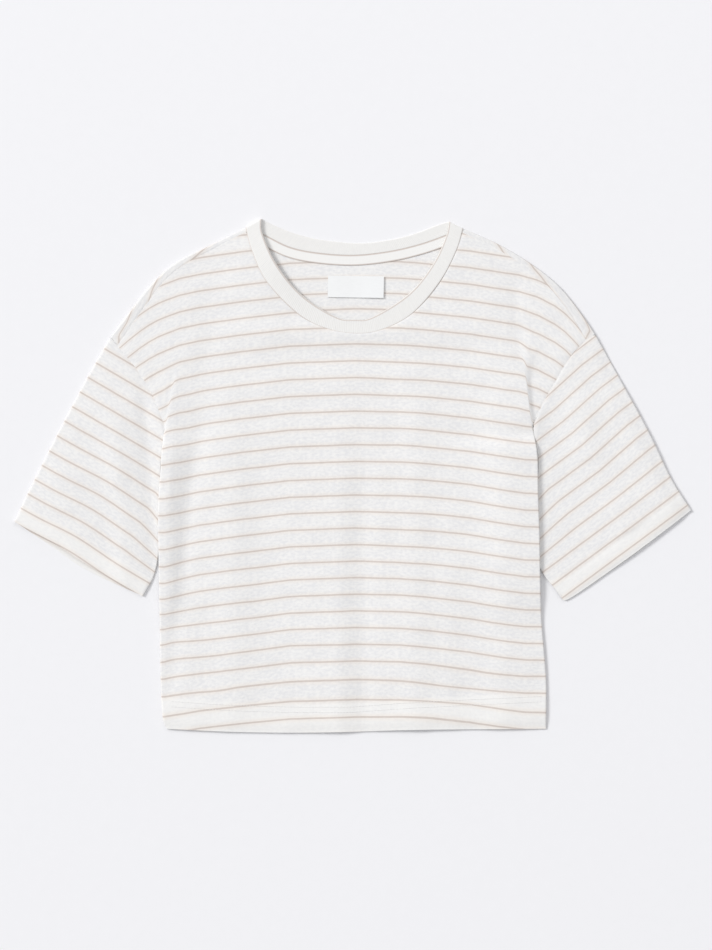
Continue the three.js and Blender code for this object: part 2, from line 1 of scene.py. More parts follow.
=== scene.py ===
"""A cropped short-sleeved jersey top with fine tan stripes, laid flat on its back.

Plan sizes are in millimetres: X to the right, Y towards the neck, Z up from the table.
Each piece of cloth is a thin shell between an outer and an inner grid of points.
"""

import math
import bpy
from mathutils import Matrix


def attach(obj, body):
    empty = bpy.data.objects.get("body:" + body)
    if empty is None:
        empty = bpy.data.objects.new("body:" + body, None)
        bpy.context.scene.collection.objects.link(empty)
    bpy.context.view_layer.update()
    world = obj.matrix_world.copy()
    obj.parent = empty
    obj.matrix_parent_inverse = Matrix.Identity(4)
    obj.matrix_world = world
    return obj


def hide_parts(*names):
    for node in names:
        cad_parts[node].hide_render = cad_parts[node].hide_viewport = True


bl_info = {
    "name": "Laid crop top",
    "version": (1, 0, 0),
    "blender": (4, 5, 0),
    "location": "View3D > Sidebar > Crop top",
    "description": "Builds a striped cropped jersey top, laid flat, around its packed model",
    "category": "Add Mesh",
}

import bpy
import numpy as np

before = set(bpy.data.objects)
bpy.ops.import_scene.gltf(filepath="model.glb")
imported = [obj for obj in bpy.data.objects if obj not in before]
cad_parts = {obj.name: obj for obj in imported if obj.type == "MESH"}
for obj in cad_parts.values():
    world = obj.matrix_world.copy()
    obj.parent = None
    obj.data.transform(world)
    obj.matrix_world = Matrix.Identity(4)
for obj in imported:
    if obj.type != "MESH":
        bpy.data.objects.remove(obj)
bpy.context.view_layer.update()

MM = 0.001

# Heights of the laid layers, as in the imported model
SEAM_GAP = 0.3
SEAM_LAP = 0.1
RIB_LAP = 0.45
BODY_HEIGHT = 3.6
BAND_HEIGHT = 4.0
SLEEVE_HEIGHT = 2.6
BODY_LIFT = SLEEVE_HEIGHT + SEAM_GAP
# Radius of the folds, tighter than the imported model's 2 mm, which its thicker wall needs
FOLD_RADIUS = 1.1
# Height of the binding and the label over the cloth they lie on
LYING_GAP = 0.1

# Binding and label inside the back, and the part of the table that the picture shows
LABEL_LIFT = {"all": 0.25, "right": 0.75, "lower": 0.35, "wave": 0.12, "turns": 9}
TAPE = {"width": 10.4, "thickness": 0.7, "from": 0.065, "to": 0.935}
LABEL = {
    "width": 57, "height": 22, "x": 3, "y": 192.5, "thickness": 0.45, "slant": 0.5, "tilt": -0.9,
}
VIEW = {"x": 0.0032, "y": 0.0006, "height": 0.969}
SENSOR = 36.0

# Side and place of each light, in metres
KEY_LIGHT = {"size": 9.5, "place": (-22.0, 12.0, 17.5)}
TOP_LIGHT = {"size": 2.5, "place": (1.5, 4.5, 4.5)}

# Outlines of the laid garment
HEM = [(-190, -258), (-126, -261), (-62, -262), (1, -261), (68, -259), (197, -258)]
SHOULDER = {
    "left": [(-109, 253), (-147, 234), (-180, 217), (-204, 196), (-224, 171), (-247, 141)],
    "right": [(112, 252), (148, 236), (183, 215), (211, 192), (235, 162), (247, 144)],
}
ARMHOLE = {
    "left": [(-192, 45), (-194, 56), (-205, 84), (-220, 108), (-237, 129), (-247, 141)],
    "right": [(183, 50), (195, 76), (206, 95), (222, 122), (237, 138), (247, 144)],
}
SIDE = {
    "left": [
        (-190, -258), (-194, -246), (-196, -206), (-197, -141),
        (-198, -72), (-198, -24), (-194, 13), (-192, 45),
    ],
    "right": [(197, -258), (197, -206), (192, -138), (190, -51), (187, 13), (183, 50)],
}
NECK_SEAM = {
    "front": [
        (-109, 253), (-103, 230), (-88, 198), (-57, 166), (-30, 151), (2, 145),
        (30, 149), (60, 165), (88, 197), (105, 229), (112, 252),
    ],
    "back": [
        (-109, 253), (-91, 246), (-64, 233), (-34, 227), (2, 225),
        (38, 229), (68, 236), (94, 245), (112, 252),
    ],
}
NECK_EDGE = {
    "front": [
        (-93, 262), (-92, 247), (-78, 216), (-53, 185), (-18, 162), (2, 159),
        (21, 162), (58, 186), (82, 216), (95, 244), (98, 259),
    ],
    "back": [
        (-93, 262), (-88, 259), (-68, 250), (-45, 243), (-21, 239), (10, 237),
        (41, 241), (64, 247), (85, 255), (98, 259),
    ],
}
SLEEVE = {
    "left": {
        "top": [(-247, 141), (-270, 101), (-294, 56), (-325, -5), (-345, -47)],
        "hem": [(-214, -123), (-242, -107), (-275, -88), (-304, -69), (-345, -47)],
        "under": [
            (-192.4, 45), (-195.5, 13), (-196, -10), (-194, -36),
            (-196, -66), (-202, -100), (-214, -123),
        ],
        "back_hem_drop": 5.5,
    },
    "right": {
        "top": [(247, 144), (261, 119), (301, 46), (324, -2), (345, -35)],
        "hem": [(212, -123), (221, -125), (272, -90), (306, -65), (345, -35)],
        "under": [
            (183.3, 50), (188.5, 13), (186, -14), (181, -40),
            (183, -72), (192, -97), (204, -113), (212, -123),
        ],
        "back_hem_drop": 1.0,
    },
}
HANDS = ("left", "right")
SIGN = {"left": 1, "right": -1}

# Hems: how far the cloth drops at the edge, and over what width; the rise of the doubled
# cloth; the groove of the hem's seam, its width and how far inside the hem it lies
HEM_DROP = {"body": (1.1, 6), "sleeve": (0.6, 3)}
HEM_RISE = 0.2
HEM_GROOVE = {"body": (0.15, 1.6), "sleeve": (0.25, 1.5)}
HEM_GROOVE_IN = 1.2
# Depth and width of the grooves beside the other seams
SEAM_GROOVE = (0.3, 1.3)
WRAP_GROOVE = (0.55, 1.2)
# Painted shade on the cloth over a shoulder: its share at the fold, and how much it falls to the
# seam
WRAP_PAINTED_SHADE = (0.15, 0.13)

# Share along the shoulder from the neck, and how far the back reaches over it
WRAP = [(0, 4.5), (0.3, 5.5), (0.5, 7), (0.75, 9), (1, 11)]
# Height of each shoulder fold
SHOULDER_TOP = {"left": 3.6, "right": 3.1}

# Height up the body, and the share of the lift that its edge has over a sleeve
EDGE_LIFT = {
    "left": [(-170, 0), (-110, 0.95), (-78, 1), (-16, 1), (14, 0.95), (44, 0)],
    "right": [(-152, 0), (-104, 1.0), (-84, 1.15), (-50, 1.35), (26, 1.35), (47, 0)],
}
LIFT_REACH = {"left": (7, 32), "right": (8, 120)}

# Shares of a body panel: the underarm up its side, the neck across its top
UNDERARM_SHARE = 0.76
NECK_FROM = 0.27
NECK_TO = 0.73
SIDE_REACH = 4

# Columns of the back below each shoulder
BACK_SHOULDER_STEPS = 44

# How far the side folds lap over the sleeves beside the underarm
UNDERARM_LAP = 1.7
UNDERARM_LAP_AT = 22
UNDERARM_LAP_REACH = 26

# Soft folds: from x, y to x, y, then width and height
FRONT_FOLDS = [
    (-143, 190, -158, 0, 15, -0.95),
    (-152, 75, -177, -115, 9, -0.75),
    (-170, -60, -188, -240, 8.5, -0.75),
    (-182, 140, -190, -60, 11, 0.7),
    (-186, 110, -193, -200, 9, 0.3),
    (-122, 130, -122, -290, 20, 1),
    (-93, 40, -93, -330, 26, -0.6),
    (-22, 150, -22, -290, 24, 0.6),
    (-12, 70, -14, -330, 10, 0.6),
    (11, 90, 11, -330, 11, -0.95),
    (63, 165, 66, -330, 19, 1.2),
    (98, -10, 98, -330, 13, 0.7),
    (128, 90, 128, -330, 32, -0.6),
    (152, 140, 154, -300, 18, 1),
    (167, 215, 173, 105, 9, -0.9),
    (193, -70, 198, -300, 14, -0.7),
    (-185, 146, 165, 146, 12, 0.9),
    (-150, 121, 150, 121, 12, -0.6),
]
SLEEVE_FOLDS = {
    "left": [(-236, 60, -234, -150, 13, 1.1), (-290, 20, -300, -40, 20, 0.8)],
    "right": [(228, 90, 244, 10, 16, 1.1), (262, -20, 284, -60, 18, 0.9)],
}
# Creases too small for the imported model, in the same columns
SLEEVE_CREASES = {
    "left": [(-216, 150, -200, -140, 8, -1.1), (-250, 96, -240, -20, 10, 0.5)],
    "right": [(186, 100, 188, -90, 7, 0.9), (266, 125, 340, -50, 36, 1.3)],
}
# How much lower each sleeve's cloth lies at its top fold, and how soon that begins
SLEEVE_EDGE_DROP = {"left": 0.3, "right": 1.4}
SLEEVE_EDGE_SHARE = 0.06
# Where the front stands up a little: x, y, reach across, reach up, rise
FRONT_RISES = [(-90, 208, 34, 50, 1.6), (96, 205, 30, 45, 0.5)]
# How far the band's free edge stands up beside the left of the neck, in the same columns
BAND_TILT = [(-78, 212, 34, 44, 1.4)]

# The fold of the front beside the right underarm, and how high its edge stands
TUCK = [(169, 138), (174, 118), (177, 94), (180, 67), (183, 50)]
TUCK_HEIGHT = [(50, 2.1), (70, 2.3), (95, 2.1), (118, 1.3), (138, 0.3), (150, 0)]
TUCK_RIDGE = 34.0
# Height of the body, and the width over which the cloth falls at the tuck's edge
TUCK_FALL = [(60, 0.8), (95, 1.2), (112, 4), (128, 12), (142, 26)]
TUCK_SOFT = 1.9
# The small crease above the left underarm, its height and how far it draws rows down
CREASE = [(-179.7, 115), (-182, 97.5), (-185.5, 80), (-188.6, 62), (-191.7, 45.5)]
CREASE_HEIGHT = 0.5
CREASE_REACH = 7.0
CREASE_DROOP = [(45, 3.4), (62, 3.6), (80, 3.8), (97, 1.6), (115, 0)]

# Stripes of the body: height of each numbered row on the middle line
PITCH = 17.0
BODY_ROWS = [
    (24, -264), (23, -246), (22, -228.3), (21, -207.8), (20, -188.9),
    (16, -120.8), (10, -19.8), (1, 134.2), (-6, 252.8), (-7, 269.8),
]
# Heights between which the rows change from beside the arms to above them. Near the hem
# they drop by a share less
ROWS_CHANGE = (38, 72)
ROWS_STRAIGHTEN = {"from": -235, "to": -185, "share": 0.17}
# How far a row has dropped at each place across, beside the arms and above them
DROOP_MIDDLE = [
    (-176.4, 18.2), (-156, 13.9), (-115.2, 8.2), (-64.2, 2.4), (2.1, 0), (48, 0.8),
    (68.4, 2.2), (119.4, 7.1), (155.1, 12.5),
]
DROOP_LOW = [(-192, 21), *DROOP_MIDDLE, (175.5, 15.3), (195, 16)]
DROOP_HIGH = [
    (-247, 66), (-237.6, 55.1), (-227.4, 46.4), (-217.2, 38.3), (-207, 31.3),
    (-198.8, 26.8), (-190.6, 23.5), *DROOP_MIDDLE, (169, 14.4), (181.7, 18),
    (188.8, 20.1), (196, 23.6), (206.1, 28.4), (216.3, 35.4), (226.5, 44.9), (247, 68),
]
# Height of the body, and how far the rows beyond the tuck are drawn down
TUCK_DROOP = [
    (46, 11.5), (53, 12.2), (72, 9.6), (91, 8.3), (110, 6.2), (129, 4.6), (147, 3.2),
    (165, 1.6), (185, 0),
]
# Where soft folds draw the rows down or up: x, y, reach across, reach up, drop
STRIPE_BENDS = [
    (-183, -176, 22, 30, -4.2), (-192, -102, 14, 35, 1.8), (-196, 75, 16, 40, 3.2),
    (118, -210, 50, 13, 3.3), (90, -240, 50, 10, -2.8), (-140, -219, 22, 9, 1.6),
    (50, -62, 26, 40, 1.0), (60, 60, 30, 40, -0.6), (-165, 70, 12, 40, 1.0),
    (142, -158, 46, 66, 1.4), (92, -24, 44, 40, -1.1), (48, 94, 26, 34, 1.3),
    (-186, 48, 9, 34, -1.4), (-64, -176, 40, 20, -0.8), (-100, -130, 26, 60, 0.7),
]
# The same for the rows inside the back, seen through the neck
BACK_BENDS = [
    (0, 176, 90, 16, -2.4), (-150, 240, 34, 60, 5.7), (-205, 200, 34, 60, 5.7),
    (134, 240, 30, 30, 5),
]

# Stripes of a sleeve, up from its hem: number and distance
SLEEVE_ROWS = {
    "left": [
        (-1, -16.8), (0, -0.5), (1, 15.6), (4, 64.2), (5, 80.7), (6, 98.1), (8, 131.5),
        (12, 199), (14, 233),
    ],
    "right": [(-1, -10.8), (0, 5.6), (4, 71.4), (8, 134.6), (12, 194.8), (14, 225)],
}
# The hem's two rows of stitches: how far inside the hem's seam they lie, their length and
# the pitch, the share of the hem left at each end, and height over the cloth. A stitch
# has half a length as a share of the pitch, and a height as a share of its width
STITCHES = {
    "rows": (3.5, 9.0), "length": 386, "pitch": 3.2, "ends": 0.012, "above": 0.4,
    "half": 0.42, "flat": 0.8,
}

# The outer corner of each hem and the direction from it along the hem
SLEEVE_AXES = {
    "left": ((-344.4, -47.8), (0.8638, -0.5039)),
    "right": ((343.8, -35.1), (-0.8033, -0.5955)),
}


def linear(colour):
    """sRGB hex to linear: each channel through the sRGB curve."""
    channels = [int(colour[i:i + 2], 16) / 255 for i in (1, 3, 5)]
    curve = [c / 12.92 if c <= 0.04045 else ((c + 0.055) / 1.055) ** 2.4 for c in channels]
    return (*curve, 1.0)


# Tools on arrays

def eased(rows, place):
    """The value of a two-column table at each place, eased from row to row."""
    keys, values = np.array(rows, float).T
    place = np.asarray(place, float)
    low = np.clip(np.searchsorted(keys, place, side="right") - 1, 0, len(keys) - 2)
    share = np.clip((place - keys[low]) / (keys[low + 1] - keys[low]), 0, 1)
    share = share * share * (3 - 2 * share)
    return values[low] + (values[low + 1] - values[low]) * share


def straight(rows, place):
    """The value of a two-column table at each place, straight from row to row."""
    keys, values = np.array(sorted(rows), float).T
    return np.interp(place, keys, values)


def line_x(rows, y):
    """X of a plan line, given as rows of x and y, at each height up the body."""
    return straight([(up, across) for across, up in rows], y)


def smooth_step(low, high, value):
    """0 below low, 1 above high, and 3s^2 - 2s^3 between them."""
    share = np.clip((value - low) / (high - low), 0, 1)
    return share * share * (3 - 2 * share)


def unit(vectors):
    """Each vector over its own length."""
    return vectors / np.maximum(np.linalg.norm(vectors, axis=-1, keepdims=True), 1e-9)


class Route:
    """A Catmull-Rom curve through plan points, read by its share of length.

    Between points p1 and p2 it is the cubic 0.5 (2 p1 + (p2 - p0) u + (2 p0 - 5 p1 + 4 p2
    - p3) u^2 + (3 p1 - p0 - 3 p2 + p3) u^3).
    """

    STEPS = 60

    def __init__(self, rows):
        p = np.array(rows, float)
        p = np.vstack([2 * p[:1] - p[1:2], p, 2 * p[-1:] - p[-2:-1]])
        u = np.linspace(0, 1, self.STEPS, endpoint=False)[None, :, None]
        p0, p1, p2, p3 = (p[i:len(p) - 3 + i, None] for i in range(4))
        body = 0.5 * (
            2 * p1
            + (p2 - p0) * u
            + (2 * p0 - 5 * p1 + 4 * p2 - p3) * u**2
            + (3 * p1 - p0 - 3 * p2 + p3) * u**3
        )
        self.points = np.vstack([body.reshape(-1, 2), p[-2]])
        steps = np.linalg.norm(np.diff(self.points, axis=0), axis=1)
        self.places = np.concatenate([[0], np.cumsum(steps)])
        self.length = self.places[-1]

    def by_length(self, distance):
        """Points at distances from the start; past an end it runs on straight."""
        distance = np.asarray(distance, float)
        inside = np.clip(distance, 0, self.length)
        found = np.stack(
            [np.interp(inside, self.places, self.points[:, i]) for i in (0, 1)], axis=-1
        )
        first = unit(self.points[1] - self.points[0])
        last = unit(self.points[-1] - self.points[-2])
        beyond = np.where(distance > self.length, distance - self.length, 0)[..., None]
        before = np.where(distance < 0, distance, 0)[..., None]
        return found + before * first + beyond * last

    def at(self, share):
        """Points at shares of the length."""
        return self.by_length(np.asarray(share, float) * self.length)

    def square(self, share):
        """The direction to the left of the route, square to it."""
        step = 0.004
        along = unit(self.at(np.asarray(share) + step) - self.at(np.asarray(share) - step))
        return np.stack([-along[..., 1], along[..., 0]], axis=-1)


def seam_distance(points, route):
    """Distance of plan points from a route: from the chords beside its nearest sample."""
    flat = points.reshape(-1, 2)
    samples = route.at(np.linspace(0, 1, 60))
    gaps = np.linalg.norm(flat[:, None] - samples[None], axis=2)
    best = gaps.argmin(axis=1)
    found = gaps[np.arange(len(flat)), best]
    for first in (np.maximum(best - 1, 0), np.minimum(best, len(samples) - 2)):
        start, step = samples[first], samples[first + 1] - samples[first]
        share = np.clip(((flat - start) * step).sum(1) / (step * step).sum(1), 0, 1)
        found = np.minimum(found, np.linalg.norm(flat - start - step * share[:, None], axis=1))
    return found.reshape(points.shape[:-1])


hem_route = Route(HEM)
side_route = {hand: Route(rows) for hand, rows in SIDE.items()}
shoulder_route = {hand: Route(rows) for hand, rows in SHOULDER.items()}
armhole_route = {hand: Route(rows) for hand, rows in ARMHOLE.items()}
seam_route = {layer: Route(rows) for layer, rows in NECK_SEAM.items()}
edge_route = {layer: Route(rows) for layer, rows in NECK_EDGE.items()}


# Heights of the laid cloth

def body_lift(points):
    """Height of the body's underside: its lift over a sleeve, fading in from the edge."""
    x, y = points[..., 0], points[..., 1]
    height = np.zeros_like(x)
    for hand in HANDS:
        inside = SIGN[hand] * (x - eased([(up, across) for across, up in SIDE[hand]], y))
        fade = 1 - smooth_step(*LIFT_REACH[hand], inside)
        mine = (x < 0) if hand == "left" else (x >= 0)
        height = np.where(mine, eased(EDGE_LIFT[hand], y) * BODY_LIFT * fade, height)
    return height


def fold_height(folds, points):
    """The sum of ridges: height times e^-(distance across / width)^2, tapered at its ends."""
    total = np.zeros(points.shape[:-1])
    for x0, y0, x1, y1, width, height in folds:
        along = np.array([x1 - x0, y1 - y0], float)
        start = points - np.array([x0, y0], float)
        share = (start @ along) / (along @ along)
        across = (start[..., 0] * along[1] - start[..., 1] * along[0]) / np.linalg.norm(along)
        taper = smooth_step(0, 0.3, share) * (1 - smooth_step(0.85, 1, share))
        total += height * taper * np.exp(-((across / width) ** 2))
    return total


# Shallow waves over the whole cloth: length, direction in degrees, phase and height
WAVES = [
    (74, 12, 0.4, 0.16), (51, 97, 1.9, 0.14), (38, 61, 3.1, 0.08), (29, 148, 0.7, 0.05),
    (23, 104, 2.2, 0.035), (17, 31, 4.4, 0.02),
]


def waves(points, shift):
    """The sum of sines of the distance along each wave's direction."""
    total = np.zeros(points.shape[:-1])
    for length, angle, phase, height in WAVES:
        turn = math.radians(angle)
        along = points[..., 0] * math.cos(turn) + points[..., 1] * math.sin(turn)
        total += height * np.sin(2 * math.pi * along / length + phase + shift)
    return total


def bends(table, points):
    """The sum of drops, each times e^-(dx/reach)^2 e^-(dy/reach)^2."""
    total = np.zeros(points.shape[:-1])
    for x, y, reach_x, reach_y, drop in table:
        across = (points[..., 0] - x) / reach_x
        up = (points[..., 1] - y) / reach_y
        total += drop * np.exp(-(across**2) - up**2)
    return total


def stripe_place(points, table, beyond_tuck=None):
    """Distance along the body's own cloth, in which every stripe is a whole pitch: the
    height on the middle line whose row drops to this point, read off the row table."""
    x, y = points[..., 0], points[..., 1]
    high = smooth_step(*ROWS_CHANGE, y)
    droop = straight(DROOP_LOW, x) * (1 - high) + straight(DROOP_HIGH, x) * high
    by_hem = 1 - smooth_step(ROWS_STRAIGHTEN["from"], ROWS_STRAIGHTEN["to"], y)
    droop = droop * (1 - ROWS_STRAIGHTEN["share"] * by_hem) + bends(table, points)
    if beyond_tuck is not None:
        droop = droop + beyond_tuck * straight(TUCK_DROOP, y)
        droop = droop + crease_share(points)[0] * straight(CREASE_DROOP, y)
    rows = sorted((height, number) for number, height in BODY_ROWS)
    return PITCH * np.interp(y + droop, *np.array(rows).T)


def sleeve_place(hand, points):
    """Distance up a sleeve's own cloth from its hem, in which every stripe is a pitch."""
    corner, along = (np.array(pair) for pair in SLEEVE_AXES[hand])
    up = np.array([-along[1], along[0]]) * SIGN[hand]
    a = (points - corner) @ along
    t = (points - corner) @ up
    if hand == "left":
        bow = 3.2 * np.exp(-(((a - 62) / 34) ** 2)) * (1 - smooth_step(60, 150, t))
        near_under = np.clip((a - 108) / 32, 0, 1.7) ** 1.4
        t = t - bow + 0.22 * near_under * np.clip(t - 16, 0, 150)
    else:
        bow = 4.8 * np.clip(1 - a / 50, 0, 1) * smooth_step(15, 115, t)
        near_under = np.clip((a - 102) / 36, 0, 1.6) ** 1.3
        t = t - bow + 0.12 * near_under * np.clip(t - 40, 0, 90)
    rows = sorted((height, number) for number, height in SLEEVE_ROWS[hand])
    return PITCH * np.interp(t, *np.array(rows).T)


# Plan of the body

def body_edge(hand, t, cut):
    """The body's edge: up the side fold to the underarm, then up the armhole seam. It
    ends short of the shoulder by cut."""
    side = side_route[hand].at(np.clip(t / UNDERARM_SHARE, 0, 1))
    from_lap = (side[..., 1] - UNDERARM_LAP_AT) / UNDERARM_LAP_REACH
    over = UNDERARM_LAP * np.exp(-(from_lap**2))
    side = side - SIGN[hand] * np.stack([over, 0 * over], axis=-1)
    share = np.clip((t - UNDERARM_SHARE) / (1 - UNDERARM_SHARE), 0, 1)
    share = share * (1 - cut / armhole_route[hand].length)
    arm = armhole_route[hand].at(share)
    arm = arm + SIGN[hand] * armhole_route[hand].square(share) * SEAM_LAP
    return np.where((t <= UNDERARM_SHARE)[..., None], side, arm)


def inward(hand, t, cut):
    """Square to the body's edge, into the body."""
    step = 0.01
    before, after = np.maximum(t - step, 0), np.minimum(t + step, 1)
    along = unit(body_edge(hand, after, cut) - body_edge(hand, before, cut))
    return np.stack([along[..., 1], -along[..., 0]], axis=-1) * SIGN[hand]


def below_shoulder(hand, share, distance):
    """Down into the body from the shoulder fold: along the neck seam at the neck, along
    the armhole at the other end, and square to the fold between them."""
    share = np.asarray(share, float)
    route = shoulder_route[hand]
    square = route.square(share) * SIGN[hand]
    arm = armhole_route[hand].points
    by_arm = unit(arm[-60] - arm[-1])
    neck = seam_route["front"].points
    by_neck = unit(neck[60] - neck[0]) if hand == "left" else unit(neck[-60] - neck[-1])
    near_neck = (1 - smooth_step(0, 0.2, share))[..., None]
    near_arm = smooth_step(0.8, 1, share)[..., None]
    down = square * (1 - near_neck) + by_neck * near_neck
    down = unit(down * (1 - near_arm) + by_arm * near_arm)
    clear = SEAM_GAP * (1 - 2 * share)
    start = route.by_length(np.clip(share * route.length + clear, 0, route.length))
    return start + down * np.asarray(distance, float)[..., None]


def wrap_width(share):
    """How far the back reaches over the shoulder at a share from the neck."""
    return eased(WRAP, share)


def shoulder_share(hand, from_armhole):
    """Share from the neck, for a place in from a fold's radius inside the armhole."""
    return (1 - FOLD_RADIUS / shoulder_route[hand].length) * (1 - from_armhole)


def top_edge(layer, s, distance):
    """A panel's top edge: shoulder, neck seam, shoulder. distance is a function of the
    share along a shoulder, and gives how far below the fold the edge lies."""
    left = shoulder_share("left", np.clip(s / NECK_FROM, 0, 1))
    right = shoulder_share("right", np.clip((1 - s) / (1 - NECK_TO), 0, 1))
    share = np.clip((s - NECK_FROM) / (NECK_TO - NECK_FROM), 0, 1)
    route = seam_route[layer]
    first = distance(np.array(0.0)) / route.length
    share = first + (1 - 2 * first) * share
    neck = route.at(share) - route.square(share) * SEAM_GAP / 2
    edge = np.where((s < NECK_FROM)[..., None], below_shoulder("left", left, distance(left)), neck)
    by_right = below_shoulder("right", right, distance(right))
    return np.where((s > NECK_TO)[..., None], by_right, edge)


def patch(bottom, top, left, right, s, t):
    """Straight lines from the bottom edge to the top one, plus the bends of the two
    sides, which die away into the patch as (1 - s)^4 and s^4."""
    def bend(edge):
        return edge - edge[:1] * (1 - t) - edge[-1:] * t

    near_left = ((1 - s) ** SIDE_REACH)[..., None]
    near_right = (s**SIDE_REACH)[..., None]
    lines = bottom * (1 - t) + top * t
    return lines + bend(left) * near_left + bend(right) * near_right


def spread(*stretches):
    """Places along an edge: each stretch is (from, to, steps), joined end to end."""
    parts = [np.linspace(a, b, steps, endpoint=False) for a, b, steps in stretches]
    return np.concatenate([*parts, [stretches[-1][1]]])


# Meshes

def cell_corners(number):
    """Corner numbers of the cells of a grid of point numbers."""
    corners = [number[:-1, :-1], number[:-1, 1:], number[1:, 1:], number[1:, :-1]]
    return np.stack([c.ravel() for c in corners], axis=1)


def end_fans(rows, columns):
    """Triangles that close both ends of a run of loops, each to a point of its own. The
    two points are numbered next after the loops."""
    first = np.arange(columns)
    last = first + (rows - 1) * columns
    pole = np.full(columns, rows * columns)
    return np.vstack([
        np.stack([np.roll(first, -1), first, pole], axis=1),
        np.stack([last, np.roll(last, -1), pole + 1], axis=1),
    ])


def grid_quads(rows, columns, close_rows=False, close_columns=False):
    """Corner numbers of the cells of a grid of points numbered row by row."""
    number = np.arange(rows * columns).reshape(rows, columns)
    if close_rows:
        number = np.vstack([number, number[:1]])
    if close_columns:
        number = np.hstack([number, number[:, :1]])
    return cell_corners(number)


def rim_quads(quads, count):
    """For each edge that only one outer cell uses, the cell that joins it to its copy on
    the inner grid, whose numbers are count higher."""
    a = quads.ravel()
    b = np.roll(quads, -1, axis=1).ravel()
    forward = a.astype(np.int64) * count + b
    backward = b.astype(np.int64) * count + a
    alone = ~np.isin(forward, backward)
    a, b = a[alone], b[alone]
    return np.stack([b, a, a + count, b + count], axis=1)


def make_mesh(name, points, faces, layers, material, sharp=50):
    """A smooth mesh in metres with its UV map and point values, at the origin."""
    mesh = bpy.data.meshes.new(name)
    mesh.from_pydata((points * MM).tolist(), [], list(map(list, faces)))
    mesh.update()
    uv = layers.pop("cloth")
    corner = np.empty(len(mesh.loops), np.int32)
    mesh.loops.foreach_get("vertex_index", corner)
    layer = mesh.uv_layers.new(name="cloth")
    layer.uv.foreach_set("vector", (uv[corner] * MM).astype(np.float32).ravel())
    for key, values in layers.items():
        attribute = mesh.attributes.new(key, "FLOAT", "POINT")
        attribute.data.foreach_set("value", values.astype(np.float32))
    mesh.polygons.foreach_set("use_smooth", np.ones(len(mesh.polygons), bool))
    mesh.set_sharp_from_angle(angle=math.radians(sharp))
    mesh.materials.append(material)
    piece = bpy.data.objects.new(name, mesh)
    bpy.context.scene.collection.objects.link(piece)
    return piece


class Shell:
    """Grids of cloth that share points, each with an outside and an inside."""

    def __init__(self):
        self.outer, self.inner, self.quads, self.values = [], [], [], {}
        self.count = 0

    def add(self, outer, inner, **values):
        """Adds points and returns their numbers, in the shape of their grid."""
        shape = outer.shape[:-1]
        numbers = self.count + np.arange(outer[..., 0].size).reshape(shape)
        self.outer.append(outer.reshape(-1, 3))
        self.inner.append(inner.reshape(-1, 3))
        for key, value in values.items():
            width = value.shape[len(shape):]
            self.values.setdefault(key, []).append(value.reshape(-1, *width))
        self.count += numbers.size
        return numbers

    def cells(self, numbers, turned=False):
        """Adds the cells of a grid of point numbers."""
        quads = cell_corners(numbers)
        self.quads.append(quads[:, ::-1] if turned else quads)

    def build(self, name, material):
        """Closes the shell round its rim and makes the mesh."""
        outer = np.vstack(self.outer)
        quads = np.vstack(self.quads)
        every = np.vstack([quads, quads[:, ::-1] + self.count, rim_quads(quads, self.count)])
        layers = {key: np.concatenate(v * 2) for key, v in self.values.items()}
        points = np.vstack([outer, np.vstack(self.inner)])
        return make_mesh(name, points, every, layers, material)


def solid(plan, height):
    """Plan points and heights as points in space."""
    return np.concatenate([plan, height[..., None]], axis=-1)


# Body panels

def fold_in(angle, wall=0.0):
    """How far in from a fold's edge its outside, or its inside, lies at an angle."""
    return wall + (FOLD_RADIUS - wall) * (1 - np.cos(angle))


def seam_dip(distance, depth, width):
    """A soft groove beside a seam: depth times e^-(distance / width)^2."""
    return depth * np.exp(-((distance / width) ** 2))


def doubled_share(line, depth):
    """1 on the doubled cloth of a hem and 0 beyond it, at a distance from the hem's edge."""
    return 1 - smooth_step(-0.5, 0.5, line - depth)


def hem_edge(level, line, depth, doubled, kind):
    """Heights with the hem's thickness, the drop at its edge and the groove at its seam."""
    drop, reach = HEM_DROP[kind]
    level = level + HEM_RISE * doubled - drop * np.exp(-((line / reach) ** 2))
    return level - seam_dip(line - depth + HEM_GROOVE_IN, *HEM_GROOVE[kind])


def hem_depth(x):
    """Depth of the turned hem across the body."""
    return straight([(-200, 32), (0, 29), (200, 37)], x)


def tuck_rise(points):
    """(height of the tuck's upper layer, share beyond the tuck). The cloth rises to the
    tuck's edge from the body side and drops to the laid height just beyond it."""
    x, y = points[..., 0], points[..., 1]
    edge = line_x(TUCK, y)
    rise = eased(TUCK_HEIGHT, y) * smooth_step(40, 52, y)
    inside = edge - x
    upper = np.exp(-((np.maximum(inside, 0) / TUCK_RIDGE) ** 2))
    fall = eased(TUCK_FALL, y)
    ends = smooth_step(44, 50, y)
    beyond = smooth_step(-0.3, 0.7, -inside / fall) * ends
    down = smooth_step(-0.3, 1.9, -inside / (fall + TUCK_SOFT)) * ends
    return rise * upper * (1 - down), beyond


def crease_share(points):
    """(share beyond the small crease above the left underarm, distance beyond it)."""
    x, y = points[..., 0], points[..., 1]
    edge = line_x(CREASE, y)
    ends = smooth_step(38, 48, y) * (1 - smooth_step(96, 116, y))
    return smooth_step(-0.6, 0.8, edge - x) * ends, edge - x


def front_height(points):
    """Top of the front: lift, laid height, folds, waves, the tuck and the crease."""
    rise, beyond = tuck_rise(points)
    share, past = crease_share(points)
    rise = rise - CREASE_HEIGHT * share * np.exp(-((past / CREASE_REACH) ** 2))
    folds = fold_height(FRONT_FOLDS, points) + bends(FRONT_RISES, points)
    return body_lift(points) + BODY_HEIGHT + folds * (1 - beyond) + waves(points, 0) + rise


